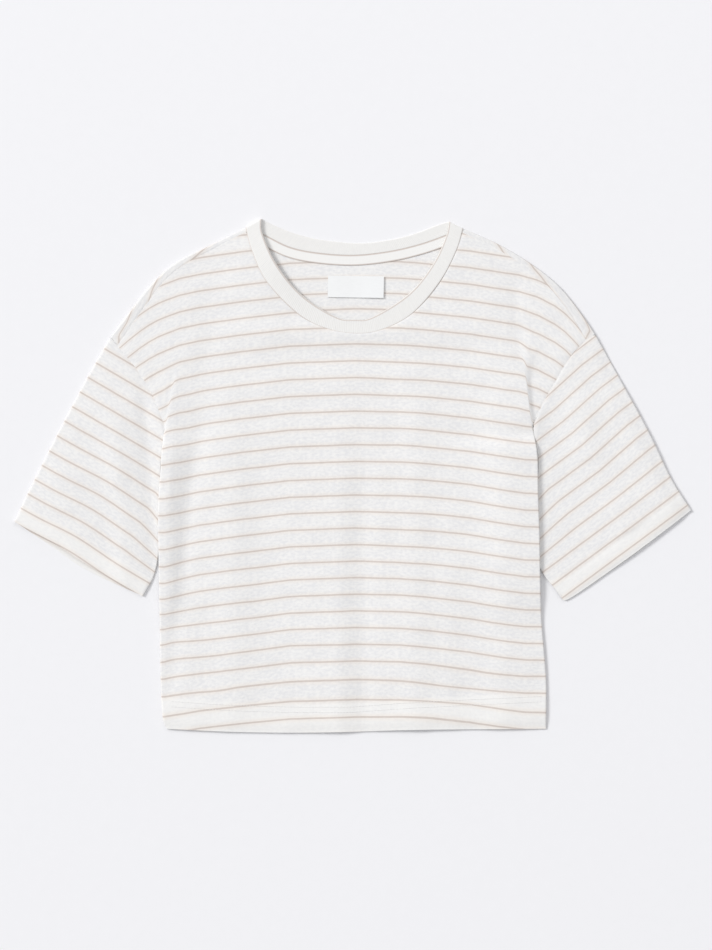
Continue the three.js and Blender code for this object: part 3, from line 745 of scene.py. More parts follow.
def panel_plan(layer, distance, s, t):
    """A body panel's plan grid, without its folded edges."""
    bottom = hem_route.at(0.005 + 0.99 * s)[None]
    top = top_edge(layer, s, distance)[None]
    cut = distance(np.array(1.0))
    left, right = (body_edge(h, t, cut) + inward(h, t, cut) * FOLD_RADIUS for h in HANDS)
    return patch(bottom, top, left[:, None], right[:, None], s[None], t[:, None, None])


def aligned(plan, s, column):
    """The places across each row that put one column on the tuck's line and stretch its
    neighbours evenly, from just beyond the neck's corner to the body's edge."""
    side = plan[..., 0] - line_x(TUCK, plan[..., 1])
    first = np.argmax(side > 0, axis=1)
    rows = np.arange(len(plan))
    before = side[rows, first - 1]
    share = -before / (side[rows, first] - before)
    cross = s[first - 1] + (s[first] - s[first - 1]) * share
    cross = np.clip(cross, 0.8, 0.985)
    fixed = s[column]
    held = NECK_TO + 0.01
    low = held + (s[None] - held) / (fixed - held) * (cross[:, None] - held)
    low = np.where(s[None] < held, s[None], low)
    high = cross[:, None] + (s[None] - fixed) / (1 - fixed) * (1 - cross[:, None])
    return np.where(s[None] <= fixed, low, high)


TURN = np.radians([0, 14, 28, 42, 58, 74])


def turned_columns(hand, t, angles, wall, cut):
    """(outer plan, inner plan, sine) of the columns that turn a side fold. Above the
    underarm the same columns lie flat, up to the armhole seam."""
    edge = body_edge(hand, t, cut)[:, None]
    into = inward(hand, t, cut)[:, None]
    fold = 1 - smooth_step(UNDERARM_SHARE, UNDERARM_SHARE + 0.02, t)[:, None]
    outer = edge + into * fold_in(angles)[None, :, None]
    inner = edge + into * fold_in(angles, wall)[None, :, None]
    inner = inner * fold[..., None] + outer * (1 - fold[..., None])
    sine = np.sin(angles)[None] * fold + (1 - fold)
    return outer, inner, sine


def body_grid(layer, distance, s, t, wall, align=None):
    """The outer plan, inner plan and fold sine of a whole panel, edge to edge."""
    flat = panel_plan(layer, distance, s, t)
    if align is not None:
        places = aligned(flat, s, align)
        number = np.arange(len(t))[:, None]
        position = np.interp(places.ravel(), s, np.arange(len(s))).reshape(places.shape)
        low = np.clip(position.astype(int), 0, len(s) - 2)
        share = (position - low)[..., None]
        flat = flat[number, low] * (1 - share) + flat[number, low + 1] * share
    cut = distance(np.array(1.0))
    left = turned_columns("left", t, TURN, wall, cut)
    right = turned_columns("right", t, TURN[::-1], wall, cut)
    ones = np.ones(flat.shape[:-1])
    outer = np.concatenate([left[0], flat, right[0]], axis=1)
    inner = np.concatenate([left[1], flat, right[1]], axis=1)
    return outer, inner, np.concatenate([left[2], ones, right[2]], axis=1)


def make_front(settings, material):
    """The front: a patch between hem, sides, armholes, shoulders and neck seam, whose
    top lies at front_height and turns half way down at the side folds."""
    wall = settings.cloth_thickness / MM
    s = spread((0, 0.86, 160), (0.86, 0.9, 10), (0.9, 0.91, 9), (0.91, 1, 22))
    t = spread((0, 0.004, 5), (0.004, 0.99, 196), (0.99, 1, 8))
    align = int(np.searchsorted(s, 0.905))
    outer, inner, sine = body_grid(
        "front", lambda share: wrap_width(share) - SEAM_LAP, s, t, wall, align
    )
    top = front_height(outer)
    hem_line = seam_distance(outer, hem_route)
    depth = hem_depth(outer[..., 0])
    hem = doubled_share(hem_line, depth)
    top = hem_edge(top, hem_line, depth, hem, "body")
    for route in (*armhole_route.values(), seam_route["front"]):
        top = top - seam_dip(seam_distance(outer, route), *SEAM_GROOVE)
    top = np.maximum(top, body_lift(outer) + 2 * wall + SEAM_LAP)
    middle = (body_lift(outer) + front_height(outer)) / 2 + SEAM_GAP / 2
    outer_z = middle + (top - middle) * sine
    inner_z = middle + (top - wall - middle) * sine
    place = stripe_place(outer, STRIPE_BENDS, tuck_rise(outer)[1])
    cloth = np.stack([outer[..., 0], place], axis=-1)
    shell = Shell()
    # turned is the share of painted fold shade, rising as the cloth turns at a side fold
    numbers = shell.add(
        solid(outer, outer_z), solid(inner, inner_z), cloth=cloth, doubled=hem, turned=1 - sine
    )
    shell.cells(numbers)
    return shell.build("front_panel", material)


def fold_reach(share):
    """How far below the shoulder fold the back's flat part ends."""
    return np.full_like(share, FOLD_RADIUS)


def make_back(settings, material):
    """The back: a patch on the table that turns half way up at the side folds and wraps
    over each shoulder to the seam on the front."""
    wall = settings.cloth_thickness / MM
    steps = BACK_SHOULDER_STEPS
    s = spread((0, NECK_FROM, steps), (NECK_FROM, NECK_TO, 74), (NECK_TO, 1, steps))
    t = spread((0, 0.004, 4), (0.004, 0.985, 170), (0.985, 1, 6))
    outer, inner, sine = body_grid("back", fold_reach, s, t, wall)
    back_bends = STRIPE_BENDS + BACK_BENDS
    lift = body_lift(outer)
    hem = doubled_share(seam_distance(outer, hem_route), hem_depth(outer[..., 0]))
    middle = (lift + front_height(outer)) / 2 - SEAM_GAP / 2
    outer_z = middle + (lift - middle) * sine
    inner_z = middle + (lift + wall - middle) * sine
    cloth = np.stack([outer[..., 0], stripe_place(outer, back_bends)], axis=-1)
    shell = Shell()
    # turned is the share of painted fold shade, rising as the cloth turns at a side fold
    numbers = shell.add(
        solid(outer, outer_z), solid(inner, inner_z), cloth=cloth, doubled=hem, turned=1 - sine
    )
    shell.cells(numbers, turned=True)
    across = len(TURN)
    for hand in HANDS:
        count = across + steps + 1
        columns = np.arange(count) if hand == "left" else outer.shape[1] - 1 - np.arange(count)
        length = shoulder_route[hand].length
        share = np.concatenate([
            1 - fold_in(TURN) / length,
            shoulder_share(hand, np.linspace(0, 1, steps + 1)),
        ])[None]
        angles = np.radians(np.arange(-75, 91, 15))[:, None]
        half = SHOULDER_TOP[hand] / 2
        ring = solid(
            below_shoulder(hand, share, fold_in(angles)), half + half * np.sin(angles) + 0 * share
        )
        ring_inner = solid(
            below_shoulder(hand, share, fold_in(angles, wall)),
            half + (half - wall) * np.sin(angles) + 0 * share,
        )
        width = wrap_width(share) + SEAM_LAP
        reach = np.linspace(0, 1, 9)[1:, None]
        distance = FOLD_RADIUS + (width - FOLD_RADIUS) * reach
        plan = below_shoulder(hand, share, distance)
        level = front_height(plan) - seam_dip(width - distance, *WRAP_GROOVE)
        level = half * 2 + (level - half * 2) * reach
        over = solid(plan, level)
        over_inner = solid(plan, level - wall)
        turn = FOLD_RADIUS * (angles + math.pi / 2) - FOLD_RADIUS
        unrolled = np.concatenate([turn + 0 * share, distance + 1.1 * FOLD_RADIUS], axis=0)
        beyond = below_shoulder(hand, share + 0 * unrolled, -unrolled)
        place = np.stack([beyond[..., 0], stripe_place(beyond, back_bends)], axis=-1)
        # Painted shade over the wrap, falling off towards the seam
        painted_wrap_shade = WRAP_PAINTED_SHADE[0] - WRAP_PAINTED_SHADE[1] * reach
        grid = shell.add(
            np.concatenate([ring, over]),
            np.concatenate([ring_inner, over_inner]),
            cloth=place,
            doubled=np.zeros(unrolled.shape),
            turned=np.concatenate([1 - abs(np.sin(angles)), painted_wrap_shade]) + 0 * share,
        )
        joined = np.vstack([numbers[-1, columns][None], grid])
        shell.cells(joined, turned=hand == "left")
    return shell.build("back_panel", material)


# Sleeves

def make_sleeve(hand, settings, material):
    """A sleeve: a flattened tube from the armhole to the hem. Round it go the under
    fold, the front layer, the top fold and the back layer."""
    wall = settings.cloth_thickness / MM
    outline = SLEEVE[hand]
    mirrored = SIGN[hand]
    top, under, hem = (Route(outline[key]) for key in ("top", "under", "hem"))
    seam = armhole_route[hand]
    chord = unit(np.subtract(outline["hem"][-1], outline["hem"][0]))
    out = np.array([chord[1], -chord[0]]) * mirrored * -1
    out = out if out[1] < 0 else -out
    k = spread((0, 0.012, 6), (0.012, 0.985, 104), (0.985, 1, 6))
    s = spread((0, 1, 84))
    place = 0.005 + 0.995 * k

    def edge(route, towards, distance):
        along = route.at(place)[:, None]
        return along + route.square(place)[:, None] * towards * distance[None, :, None]

    def layer(drop):
        bottom = seam.at(0.02 + 0.96 * s) - mirrored * seam.square(0.02 + 0.96 * s) * SEAM_LAP
        end = hem.at(0.015 + 0.97 * s) + out * (drop * np.sin(np.pi * s))[:, None]
        radius = np.array([FOLD_RADIUS])
        return patch(
            bottom[None], end[None], edge(under, -mirrored, radius), edge(top, mirrored, radius),
            s[None], k[:, None, None],
        )

    def height(points, across):
        pressed = smooth_step(0, 0.18, k)[:, None] * (1 - smooth_step(0.25, 0.6, across))
        laid = BODY_HEIGHT + (SLEEVE_HEIGHT - BODY_HEIGHT) * pressed
        near_top = np.exp(-(((1 - across) / SLEEVE_EDGE_SHARE) ** 2))
        from_top = smooth_step(0, 0.15, k)[:, None] * near_top
        laid = laid - SLEEVE_EDGE_DROP[hand] * from_top
        folds = fold_height(SLEEVE_FOLDS[hand] + SLEEVE_CREASES[hand], points)
        return np.maximum(laid + folds + 0.6 * waves(points, 1.3), 2 * wall + SEAM_LAP)

    hem_width = settings.sleeve_hem / MM

    def hemmed(points, level):
        line = seam_distance(points, hem)
        doubled = doubled_share(line, hem_width)
        level = hem_edge(level, line, hem_width, doubled, "sleeve")
        level = level - seam_dip(seam_distance(points, seam), *SEAM_GROOVE)
        return np.maximum(level, 2 * wall + SEAM_LAP), doubled

    quarter = np.radians(np.arange(-75, 76, 15))

    def turn(route, towards, across, angles):
        outer_plan = edge(route, towards, fold_in(angles))
        inner_plan = edge(route, towards, fold_in(angles, wall))
        half = height(outer_plan, across) / 2
        sine = np.sin(angles)[None]
        return (
            solid(outer_plan, half + half * sine),
            solid(inner_plan, half + (half - wall) * sine),
            np.zeros(outer_plan.shape[:-1]),
            # The share of painted fold shade, rising as the cloth turns
            1 - abs(sine) + np.zeros(outer_plan.shape[:-1]),
        )

    front_plan, back_plan = layer(0.0), layer(outline["back_hem_drop"])
    front_z, front_doubled = hemmed(front_plan, height(front_plan, s[None]))
    back_plan = back_plan[:, ::-1]
    back_z = np.zeros(back_plan.shape[:-1])
    back_doubled = doubled_share(seam_distance(back_plan, hem), hem_width)
    flat = np.zeros(back_z.shape)
    parts = [
        turn(under, -mirrored, 0.0, quarter),
        (solid(front_plan, front_z), solid(front_plan, front_z - wall), front_doubled, flat),
        turn(top, mirrored, 1.0, quarter[::-1]),
        (solid(back_plan, back_z), solid(back_plan, back_z + wall), back_doubled, flat),
    ]
    outer, inner, doubled, turned = (
        np.concatenate([p[i] for p in parts], axis=1) for i in range(4)
    )
    place_up = sleeve_place(hand, outer[..., :2])
    around = (outer[..., :2] - outline["hem"][-1]) @ chord
    cloth = np.stack([around, place_up], axis=-1)
    shell = Shell()
    numbers = shell.add(outer, inner, cloth=cloth, doubled=doubled, turned=turned)
    closed = np.hstack([numbers, numbers[:, :1]])
    shell.cells(closed, turned=mirrored < 0)
    return shell.build(f"{hand}_sleeve", material)


# Neck

def rounded_strip(steps, thickness, width):
    """(share across, height off the middle) round a strip's section: flat on both faces
    with a half round at each edge."""
    half = thickness / 2
    run = np.linspace(half, width - half, steps)
    turn = np.radians(np.linspace(90, -90, 9)[1:-1])
    free = np.stack([width - half + half * np.cos(turn), half * np.sin(turn)], axis=1)
    seam = np.stack([half - half * np.cos(turn[::-1]), half * np.sin(turn[::-1])], axis=1)
    upper = np.stack([run, np.full(steps, half)], axis=1)
    lower = np.stack([run[::-1], np.full(steps, -half)], axis=1)
    loop = np.vstack([upper, free, lower, seam])
    return loop[:, 0] / width, loop[:, 1]


def make_neckband(settings, material):
    """The folded rib: a flat rounded section carried along the neck seam of the front,
    round a half circle at each shoulder and back along the neck seam of the back."""
    thickness = settings.rib_thickness / MM
    share, off = rounded_strip(10, thickness, settings.rib_width / MM)
    centre = BAND_HEIGHT / 2
    middle = centre - thickness / 2
    turn = np.radians(np.linspace(0, 90, 10))
    stations = []

    def station(layer, distance_seam, distance_edge, height):
        seam = seam_route[layer].by_length(distance_seam)
        seam = seam - seam_route[layer].square(distance_seam / seam_route[layer].length) * RIB_LAP
        edge = edge_route[layer].by_length(distance_edge)
        plan = seam * (1 - share[None, :, None]) + edge * share[None, :, None]
        tilt = bends(BAND_TILT, plan) * share[None]
        rise = bends(FRONT_RISES, plan) + tilt if layer == "front" else 0
        stations.append(solid(plan, height + rise * np.clip(height / BAND_HEIGHT * 2 - 1, 0, 1)))

    def turned(layer, angles, right):
        radius = middle + off[None]
        distance = FOLD_RADIUS - radius * np.cos(angles)[:, None] * FOLD_RADIUS / centre
        up = 1 if layer == "front" else -1
        height = centre + up * radius * np.sin(angles)[:, None]
        lengths = seam_route[layer].length, edge_route[layer].length
        if right:
            station(layer, lengths[0] - distance, lengths[1] - distance, height)
        else:
            station(layer, distance, distance, height)

    def flat(layer, steps):
        v = np.linspace(0, 1, steps)[1:-1, None]
        if layer == "back":
            v = 1 - v
        lengths = seam_route[layer].length, edge_route[layer].length
        places = [FOLD_RADIUS + (n - 2 * FOLD_RADIUS) * v + 0 * off[None] for n in lengths]
        up = 1 if layer == "front" else -1
        height = centre + up * (middle + off[None]) + 0 * places[0]
        station(layer, *places, height)

    turned("front", turn, False)
    flat("front", 150)
    turned("front", turn[::-1], True)
    turned("back", turn[1:], True)
    flat("back", 90)
    turned("back", turn[:0:-1], False)
    points = np.concatenate(stations)
    rows, columns = points.shape[:2]
    steps = np.linalg.norm(np.diff(points[:, 0], axis=0), axis=1)
    along = np.concatenate([[0], np.cumsum(steps)])[:, None] + 0 * share[None]
    across = share[None] * settings.rib_width / MM + 0 * along
    cloth = np.stack([along, across], axis=-1).reshape(-1, 2)
    quads = grid_quads(rows, columns, close_rows=True, close_columns=True)
    outside = np.tile((off > -0.15 * thickness).astype(float), rows)
    layers = {"cloth": cloth, "outside": outside}
    return make_mesh("neckband_rib", points.reshape(-1, 3), quads[:, ::-1], layers, material, 80)


def strip_between(name, points, cloth, material, sharp):
    """A closed mesh from a run of equal loops, each end closed by a fan to its middle."""
    rows, columns = points.shape[:2]
    quads = grid_quads(rows, columns, close_columns=True)
    middles = points[[0, -1]].mean(axis=1)
    faces = [*quads.tolist(), *end_fans(rows, columns).tolist()]
    points = np.vstack([points.reshape(-1, 3), middles])
    cloth = np.vstack([cloth.reshape(-1, 2), cloth[[0, -1]].mean(axis=1)])
    return make_mesh(name, points, faces, {"cloth": cloth}, material, sharp)


def make_neck_tape(settings, material):
    """The binding inside the back: a rounded strip carried along below the back's neck
    seam, square to it."""
    route = seam_route["back"]
    width = TAPE["width"]
    share, off = rounded_strip(8, TAPE["thickness"], width)
    place = np.linspace(TAPE["from"], TAPE["to"], 110)[:, None]
    plan = route.at(place) - route.square(place) * (SEAM_GAP + width * share[None, :, None])
    middle = settings.cloth_thickness / MM + LYING_GAP + TAPE["thickness"] / 2
    points = solid(plan, middle + off[None] + 0 * place)
    across = width * share[None] + 0 * place
    cloth = np.stack([place * route.length + 0 * across, across], axis=-1)
    return strip_between("neck_binding", points, cloth, material, 60)


def make_label(settings, material):
    """The label: a thin plate in a grid. Its right end lifts as share^3 and its lower edge
    as share^2, with a shallow wave along it. Its rim is closed by the shell."""
    across, up = np.meshgrid(np.linspace(0, 1, 60), np.linspace(0, 1, 25))
    plan = np.stack([
        LABEL["x"] + (across - 0.5) * LABEL["width"] + LABEL["slant"] * (up - 0.5),
        LABEL["y"] + (up - 0.5) * LABEL["height"] + LABEL["tilt"] * (across - 0.5),
    ], axis=-1)
    lift = LABEL_LIFT["all"] + LABEL_LIFT["right"] * across**3
    lift = lift + LABEL_LIFT["lower"] * (1 - up) ** 2
    lift = lift + LABEL_LIFT["wave"] * np.sin(across * LABEL_LIFT["turns"])
    level = settings.cloth_thickness / MM + LYING_GAP + lift
    cloth = np.stack([across * LABEL["width"], up * LABEL["height"]], axis=-1)
    shell = Shell()
    top = solid(plan, level + LABEL["thickness"])
    numbers = shell.add(top, solid(plan, level), cloth=cloth)
    shell.cells(numbers)
    return shell.build("woven_label", material)


# Stitches

def stitches(name, runs, settings, material):
    """Rows of stitches: each is a long ball laid along its row. A ball's points are a
    cosine across and a sine along, round six meridians."""
    turn = np.linspace(0, 2 * math.pi, 7)[:-1]
    rise = np.linspace(-1, 1, 6)[1:-1] * math.pi / 2
    ball = np.stack([
        np.sin(rise)[:, None] + 0 * turn[None],
        np.cos(rise)[:, None] * np.cos(turn)[None],
        np.cos(rise)[:, None] * np.sin(turn)[None],
    ], axis=-1).reshape(-1, 3)
    ball = np.vstack([ball, [[-1, 0, 0], [1, 0, 0]]])
    rings, meridians = len(rise), len(turn)
    quads = grid_quads(rings, meridians, close_columns=True)
    fans = end_fans(rings, meridians)
    centres = np.vstack([(run[1:] + run[:-1]) / 2 for run in runs])
    ways = np.vstack([run[1:] - run[:-1] for run in runs])
    half = np.linalg.norm(ways, axis=1, keepdims=True) * STITCHES["half"]
    along = unit(ways)
    side = unit(np.stack([-along[:, 1], along[:, 0], 0 * along[:, 0]], axis=1))
    up = np.cross(along, side)
    thread = settings.thread_width / MM / 2
    points = (
        centres[:, None]
        + along[:, None] * ball[None, :, :1] * half[:, None]
        + side[:, None] * ball[None, :, 1:2] * thread
        + up[:, None] * ball[None, :, 2:] * thread * STITCHES["flat"]
    )
    shift = (np.arange(len(centres)) * len(ball))[:, None, None]
    faces = [*(quads[None] + shift).reshape(-1, 4).tolist()]
    faces += (fans[None] + shift).reshape(-1, 3).tolist()
    flat = points.reshape(-1, 3)
    layers = {"cloth": flat[:, :2].copy()}
    return make_mesh(name, flat, faces, layers, material, 180)


# Materials

# Wale and course of the drawn loops, in metres: twice their real size, which is too fine
# for the picture
KNIT_LOOP = (0.0014, 0.0012)
# Painted shade: how far the cloth's colour goes to the fold's grey where it turns
FOLD_SHADE_SHARE = 0.75


def node(tree, kind, values=(), **settings):
    """Adds a node. Keyword settings are its own properties, and each pair of values is a
    socket and either a constant or another node's output."""
    made = tree.nodes.new(kind)
    for key, value in settings.items():
        setattr(made, key, value)
    for socket, value in values:
        if isinstance(value, Output):
            tree.links.new(value.socket, made.inputs[socket])
        else:
            made.inputs[socket].default_value = value
    return made


def read(tree, kind, values=(), socket=0, **settings):
    """One output of a new node."""
    return Output(tree, node(tree, kind, values, **settings).outputs[socket])


class Output:
    """A node's output, whose sums, products and other operations are math nodes."""

    def __init__(self, tree, socket):
        self.tree, self.socket = tree, socket

    def maths(self, operation, *values):
        return read(self.tree, "ShaderNodeMath", enumerate(values), operation=operation)

    def apply(self, operation):
        return self.maths(operation, self)

    def __add__(self, other):
        return self.maths("ADD", self, other)

    def __sub__(self, other):
        return self.maths("SUBTRACT", self, other)

    def __rsub__(self, other):
        return self.maths("SUBTRACT", other, self)

    def __mul__(self, other):
        return self.maths("MULTIPLY", self, other)

    def __truediv__(self, other):
        return self.maths("DIVIDE", self, other)

    def maximum(self, other):
        return self.maths("MAXIMUM", self, other)

    def sine(self, length):
        """The sine of a place, with one turn in a length."""
        return (self * (2 * math.pi / length)).apply("SINE")

    def soft_band(self, low, high):
        """1 below low and 0 above high, smooth between."""
        ends = [("From Min", low), ("From Max", high), ("To Min", 1.0), ("To Max", 0.0)]
        values = [("Value", self), *ends]
        return read(
            self.tree, "ShaderNodeMapRange", values, "Result", interpolation_type="SMOOTHSTEP"
        )

    def blend(self, first, second):
        """The mix of two colours by this share."""
        values = [(0, self), (6, first), (7, second)]
        return read(self.tree, "ShaderNodeMix", values, 2, data_type="RGBA", blend_type="MIX")


def cloth_places(tree):
    """(u, v, whole vector) of the cloth's own map, in metres."""
    uv = read(tree, "ShaderNodeUVMap", uv_map="cloth")
    parts = node(tree, "ShaderNodeSeparateXYZ", [(0, uv)])
    return Output(tree, parts.outputs[0]), Output(tree, parts.outputs[1]), uv


def attribute(tree, name):
    """A point value of the mesh."""
    return read(tree, "ShaderNodeAttribute", socket="Fac", attribute_name=name)


def noise(vector, scale, detail, stretch=(1.0, 1.0, 1.0)):
    """Noise on stretched places, 0 to 1, with scale in turns for each metre."""
    tree = vector.tree
    mapped = read(tree, "ShaderNodeMapping", [(0, vector), ("Scale", stretch)])
    values = [("Vector", mapped), ("Scale", scale), ("Detail", detail)]
    return read(tree, "ShaderNodeTexNoise", values)


def shader(tree, colour, rough, bump_height, bump_strength, **constants):
    """A Principled shader with a bump, on the material's output."""
    bump = read(tree, "ShaderNodeBump", [
        ("Height", bump_height), ("Strength", bump_strength), ("Distance", 0.0003),
    ])
    values = [("Base Color", colour), ("Roughness", rough), ("Normal", bump)]
    values += [(key.replace("_", " "), value) for key, value in constants.items()]
    surface = read(tree, "ShaderNodeBsdfPrincipled", values)
    out = node(tree, "ShaderNodeOutputMaterial", [("Surface", surface)])
    out.is_active_output = True


def new_material(name):
    """An empty node material and its tree."""
    made = bpy.data.materials.new(name)
    made.use_nodes = True
    made.node_tree.nodes.clear()
    return made, made.node_tree


def loops_height(u, v):
    """The knit's relief: rows of stitch loops as a sum of two sines."""
    wale, course = KNIT_LOOP
    return u.sine(wale) * 0.6 + v.sine(course) * 0.4


def jersey_material(settings):
    """Fine single jersey in off-white slub yarn, with a tan course knitted in at each
    stripe. The slubs give it a soft cloudy grain along the courses, the loops a faint
    tooth, and its low sheen keeps it matt. Doubled hems are whiter: less shows through."""
    made, tree = new_material("slub jersey, yarn-dyed stripes")
    u, v, uv = cloth_places(tree)
    sway = (noise(uv, 60, 2) - 0.5) * 0.0005
    turns = (v + sway) / (PITCH * MM)
    away = ((turns + 0.5).apply("FRACT") - 0.5).apply("ABSOLUTE") * (PITCH * MM)
    half = settings.stripe_width / 2
    broken = noise(uv, 500, 2, (0.35, 1.0, 1.0)) * 0.5 + 0.7
    stripe = away.soft_band(half * 0.55, half * 1.45) * broken
    # Slubs are drawn longer and coarser than the yarn, so that they hold at this distance
    slub = noise(uv, 430, 3, (0.55, 1.0, 1.0))
    cloud = noise(uv, 70, 3, (0.6, 1.0, 1.0))
    grain = 1.0 - (slub * 0.75 + cloud * 0.25).soft_band(0.34, 0.66)
    ground = grain.blend(settings.cloth_shade, settings.cloth_colour)
    ground = (attribute(tree, "doubled") * 0.5).blend(ground, settings.hem_colour)
    # Some of the tan dye shows beside each stripe, through the loops next to it
    halo = away.soft_band(half * 0.9, half * 6.5) * 0.26
    ground = halo.blend(ground, settings.halo_colour)
    colour = stripe.blend(ground, settings.stripe_colour)
    # Painted shade: the cloth is greyed where it turns round a fold, and over the back's wraps on
    # the shoulders, to hold down the light on those rims
    colour = (attribute(tree, "turned") * FOLD_SHADE_SHARE).blend(colour, settings.fold_shade_colour)
    height = loops_height(u, v) * 0.25 + slub
    rough = slub * 0.12 + 0.82
    shader(tree, colour, rough, height, 0.35, Sheen_Weight=0.08, Specular_IOR_Level=0.25)
    return made


def rib_material(settings):
    """Narrow 1x1 rib, knitted and folded double. Its ribs run across the band as fine
    ridges, a tan course edges the fold and a tan seam thread lies at the neck seam."""
    made, tree = new_material("folded 1x1 rib with a tan edge")
    u, v, uv = cloth_places(tree)
    from_edge = (v - (settings.rib_width - 0.0009)).apply("ABSOLUTE")
    edge = from_edge.soft_band(0.0003, 0.0009) * attribute(tree, "outside") * 0.8
    seam = v.soft_band(0.0002, 0.001) * 0.85
    grain = noise(uv, 420, 3, (1.0, 0.3, 1.0))
    ground = grain.blend(settings.rib_shade, settings.rib_colour)
    colour = edge.maximum(seam).blend(ground, settings.stripe_colour)
    # The ribs are a little wider than real ones, to hold at this distance
    height = u.sine(0.0019) * 0.4 + grain
    rough = grain * 0.1 + 0.82
    shader(tree, colour, rough, height, 0.4, Sheen_Weight=0.08, Specular_IOR_Level=0.25)
    return made


def binding_material(settings):
    """Jersey binding cut with a tan stripe at each long edge, pressed flat over the neck
    seam: a smooth cream band between two tan lines."""
    made, tree = new_material("jersey binding with tan edges")
    u, v, uv = cloth_places(tree)
    top = v.soft_band(0.0006, 0.0016)
    low = (TAPE["width"] * MM - v).soft_band(0.0006, 0.0016)
    grain = noise(uv, 380, 3, (0.3, 1.0, 1.0))
    ground = grain.blend(settings.cloth_colour, settings.rib_colour)
    colour = top.maximum(low).blend(ground, settings.stripe_colour)
    height = loops_height(u, v) * 0.3 + grain
    rough = grain * 0.1 + 0.8
    shader(tree, colour, rough, height, 0.3, Sheen_Weight=0.05, Specular_IOR_Level=0.3)
    return made


def label_material(settings):
    """Blank white woven satin. The long floats of its warp make it smoother and brighter
    than the jersey, with a fine line grain along its length."""
    made, tree = new_material("white woven satin, blank")
    _, v, uv = cloth_places(tree)
    grain = noise(uv, 900, 2, (0.15, 1.0, 1.0))
    colour = grain.blend(settings.label_shade, settings.label_colour)
    # The weft is coarser than real, to hold at this distance
    height = v.sine(0.0011) * 0.3 + grain
    shader(tree, colour, grain * 0.15 + 0.45, height, 0.2, Specular_IOR_Level=0.45)
    return made


def thread_material(settings):
    """Spun polyester sewing thread, close to the cloth's white, twisted: a fine slanted
    line grain and a slight lustre set it off from the matt jersey."""
    made, tree = new_material("twisted sewing thread")
    place = read(tree, "ShaderNodeTexCoord", socket="Object")
    values = [("Vector", place), ("Scale", 700.0), ("Distortion", 1.5)]
    twist = read(tree, "ShaderNodeTexWave", values, 1, bands_direction="DIAGONAL")
    colour = twist.blend(settings.cloth_shade, settings.hem_colour)
    shader(tree, colour, twist * 0.2 + 0.5, twist, 0.3, Specular_IOR_Level=0.4)
    return made


def table_material(stage):
    """Matt painted board: pale, cool and almost even, with a faint roller grain."""
    made, tree = new_material("matt painted board")
    grain = noise(read(tree, "ShaderNodeTexCoord", socket="Object"), 90, 3)
    colour = grain.blend(stage.table_shade, stage.table_colour)
    shader(tree, colour, grain * 0.1 + 0.85, grain, 0.05, Specular_IOR_Level=0.2)
    return made


# Settings

def length(name, description, default):
    return bpy.props.FloatProperty(
        name=name, description=description, default=default, min=0.0, unit="LENGTH", precision=4
    )


def colour(name, description, default):
    return bpy.props.FloatVectorProperty(
        name=name, description=description, default=linear(default), size=4, min=0, max=1,
        subtype="COLOR",
    )


class ClothSettings(bpy.types.PropertyGroup):
    cloth_thickness: length("Cloth thickness", "Thickness of the jersey", 0.0006)
    rib_thickness: length("Rib thickness", "Thickness of the folded rib", 0.0014)
    rib_width: length("Rib width", "Width of the neckband", 0.0138)
    sleeve_hem: length("Sleeve hem", "Depth of a sleeve's turned hem", 0.020)
    stripe_width: length("Stripe width", "Width of a stripe", 0.0016)
    thread_width: length("Thread width", "Thickness of the sewing thread", 0.00045)
    cloth_colour: colour("Cloth", "Jersey at its lightest", "#f4f3f1")
    cloth_shade: colour("Cloth shade", "Jersey at its darkest", "#e8e8e9")
    hem_colour: colour("Hem", "Jersey where it is doubled", "#f6f5f2")
    # Painted shade for the cloth where it turns round a fold
    fold_shade_colour: colour("Fold", "Jersey where it turns round a fold", "#c4c2bf")
    stripe_colour: colour("Stripe", "Tan yarn of the stripes", "#d4cac3")
    halo_colour: colour("Halo", "Jersey beside a stripe", "#efdcc8")
    rib_colour: colour("Rib", "Rib at its lightest", "#f4f3f0")
    rib_shade: colour("Rib shade", "Rib at its darkest", "#ebeae8")
    label_colour: colour("Label", "Label at its lightest", "#f6f7f7")
    label_shade: colour("Label shade", "Label at its darkest", "#f0f1f1")


class StageSettings(bpy.types.PropertyGroup):
    table_size: length("Table size", "Side of the table top", 3.0)
    table_colour: colour("Table", "Table at its lightest", "#f4f4f6")
    table_shade: colour("Table shade", "Table at its darkest", "#f2f2f4")
    camera_height: length("Camera height", "Height of the camera above the table", 3.0)
    key_power: bpy.props.FloatProperty(
        name="Key light", description="Power of the soft light at the upper left", default=6140.0,
        min=0.0, unit="POWER",
    )
    top_power: bpy.props.FloatProperty(
        name="Top light", description="Power of the weak light beyond the neck", default=37.0,
        min=0.0, unit="POWER",
    )
    sky: bpy.props.FloatProperty(
        name="Surroundings", description="Strength of the light from all round", default=0.582,
        min=0.0,
    )


# Operators

def finish(piece, slot, *nodes):
    """Rides the part and takes the place of its model."""
    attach(piece, "root")
    if nodes:
        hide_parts(*nodes)


MADE = {}


def shared(make, settings):
    """A material, made once."""
    if make not in MADE:
        MADE[make] = make(settings)
    return MADE[make]


class CROPTOP_OT_front(bpy.types.Operator):
    """Build the front panel"""

    bl_idname = "croptop.front"
    bl_label = "Front panel"

    def execute(self, context):
        settings = context.scene.crop_top
        piece = make_front(settings, shared(jersey_material, settings))
        finish(piece, "jersey", "front")
        return {"FINISHED"}


class CROPTOP_OT_back(bpy.types.Operator):
    """Build the back panel with its wraps over the shoulders"""

    bl_idname = "croptop.back"
    bl_label = "Back panel"

    def execute(self, context):
        settings = context.scene.crop_top
        piece = make_back(settings, shared(jersey_material, settings))
        finish(piece, "jersey", "back")
        return {"FINISHED"}


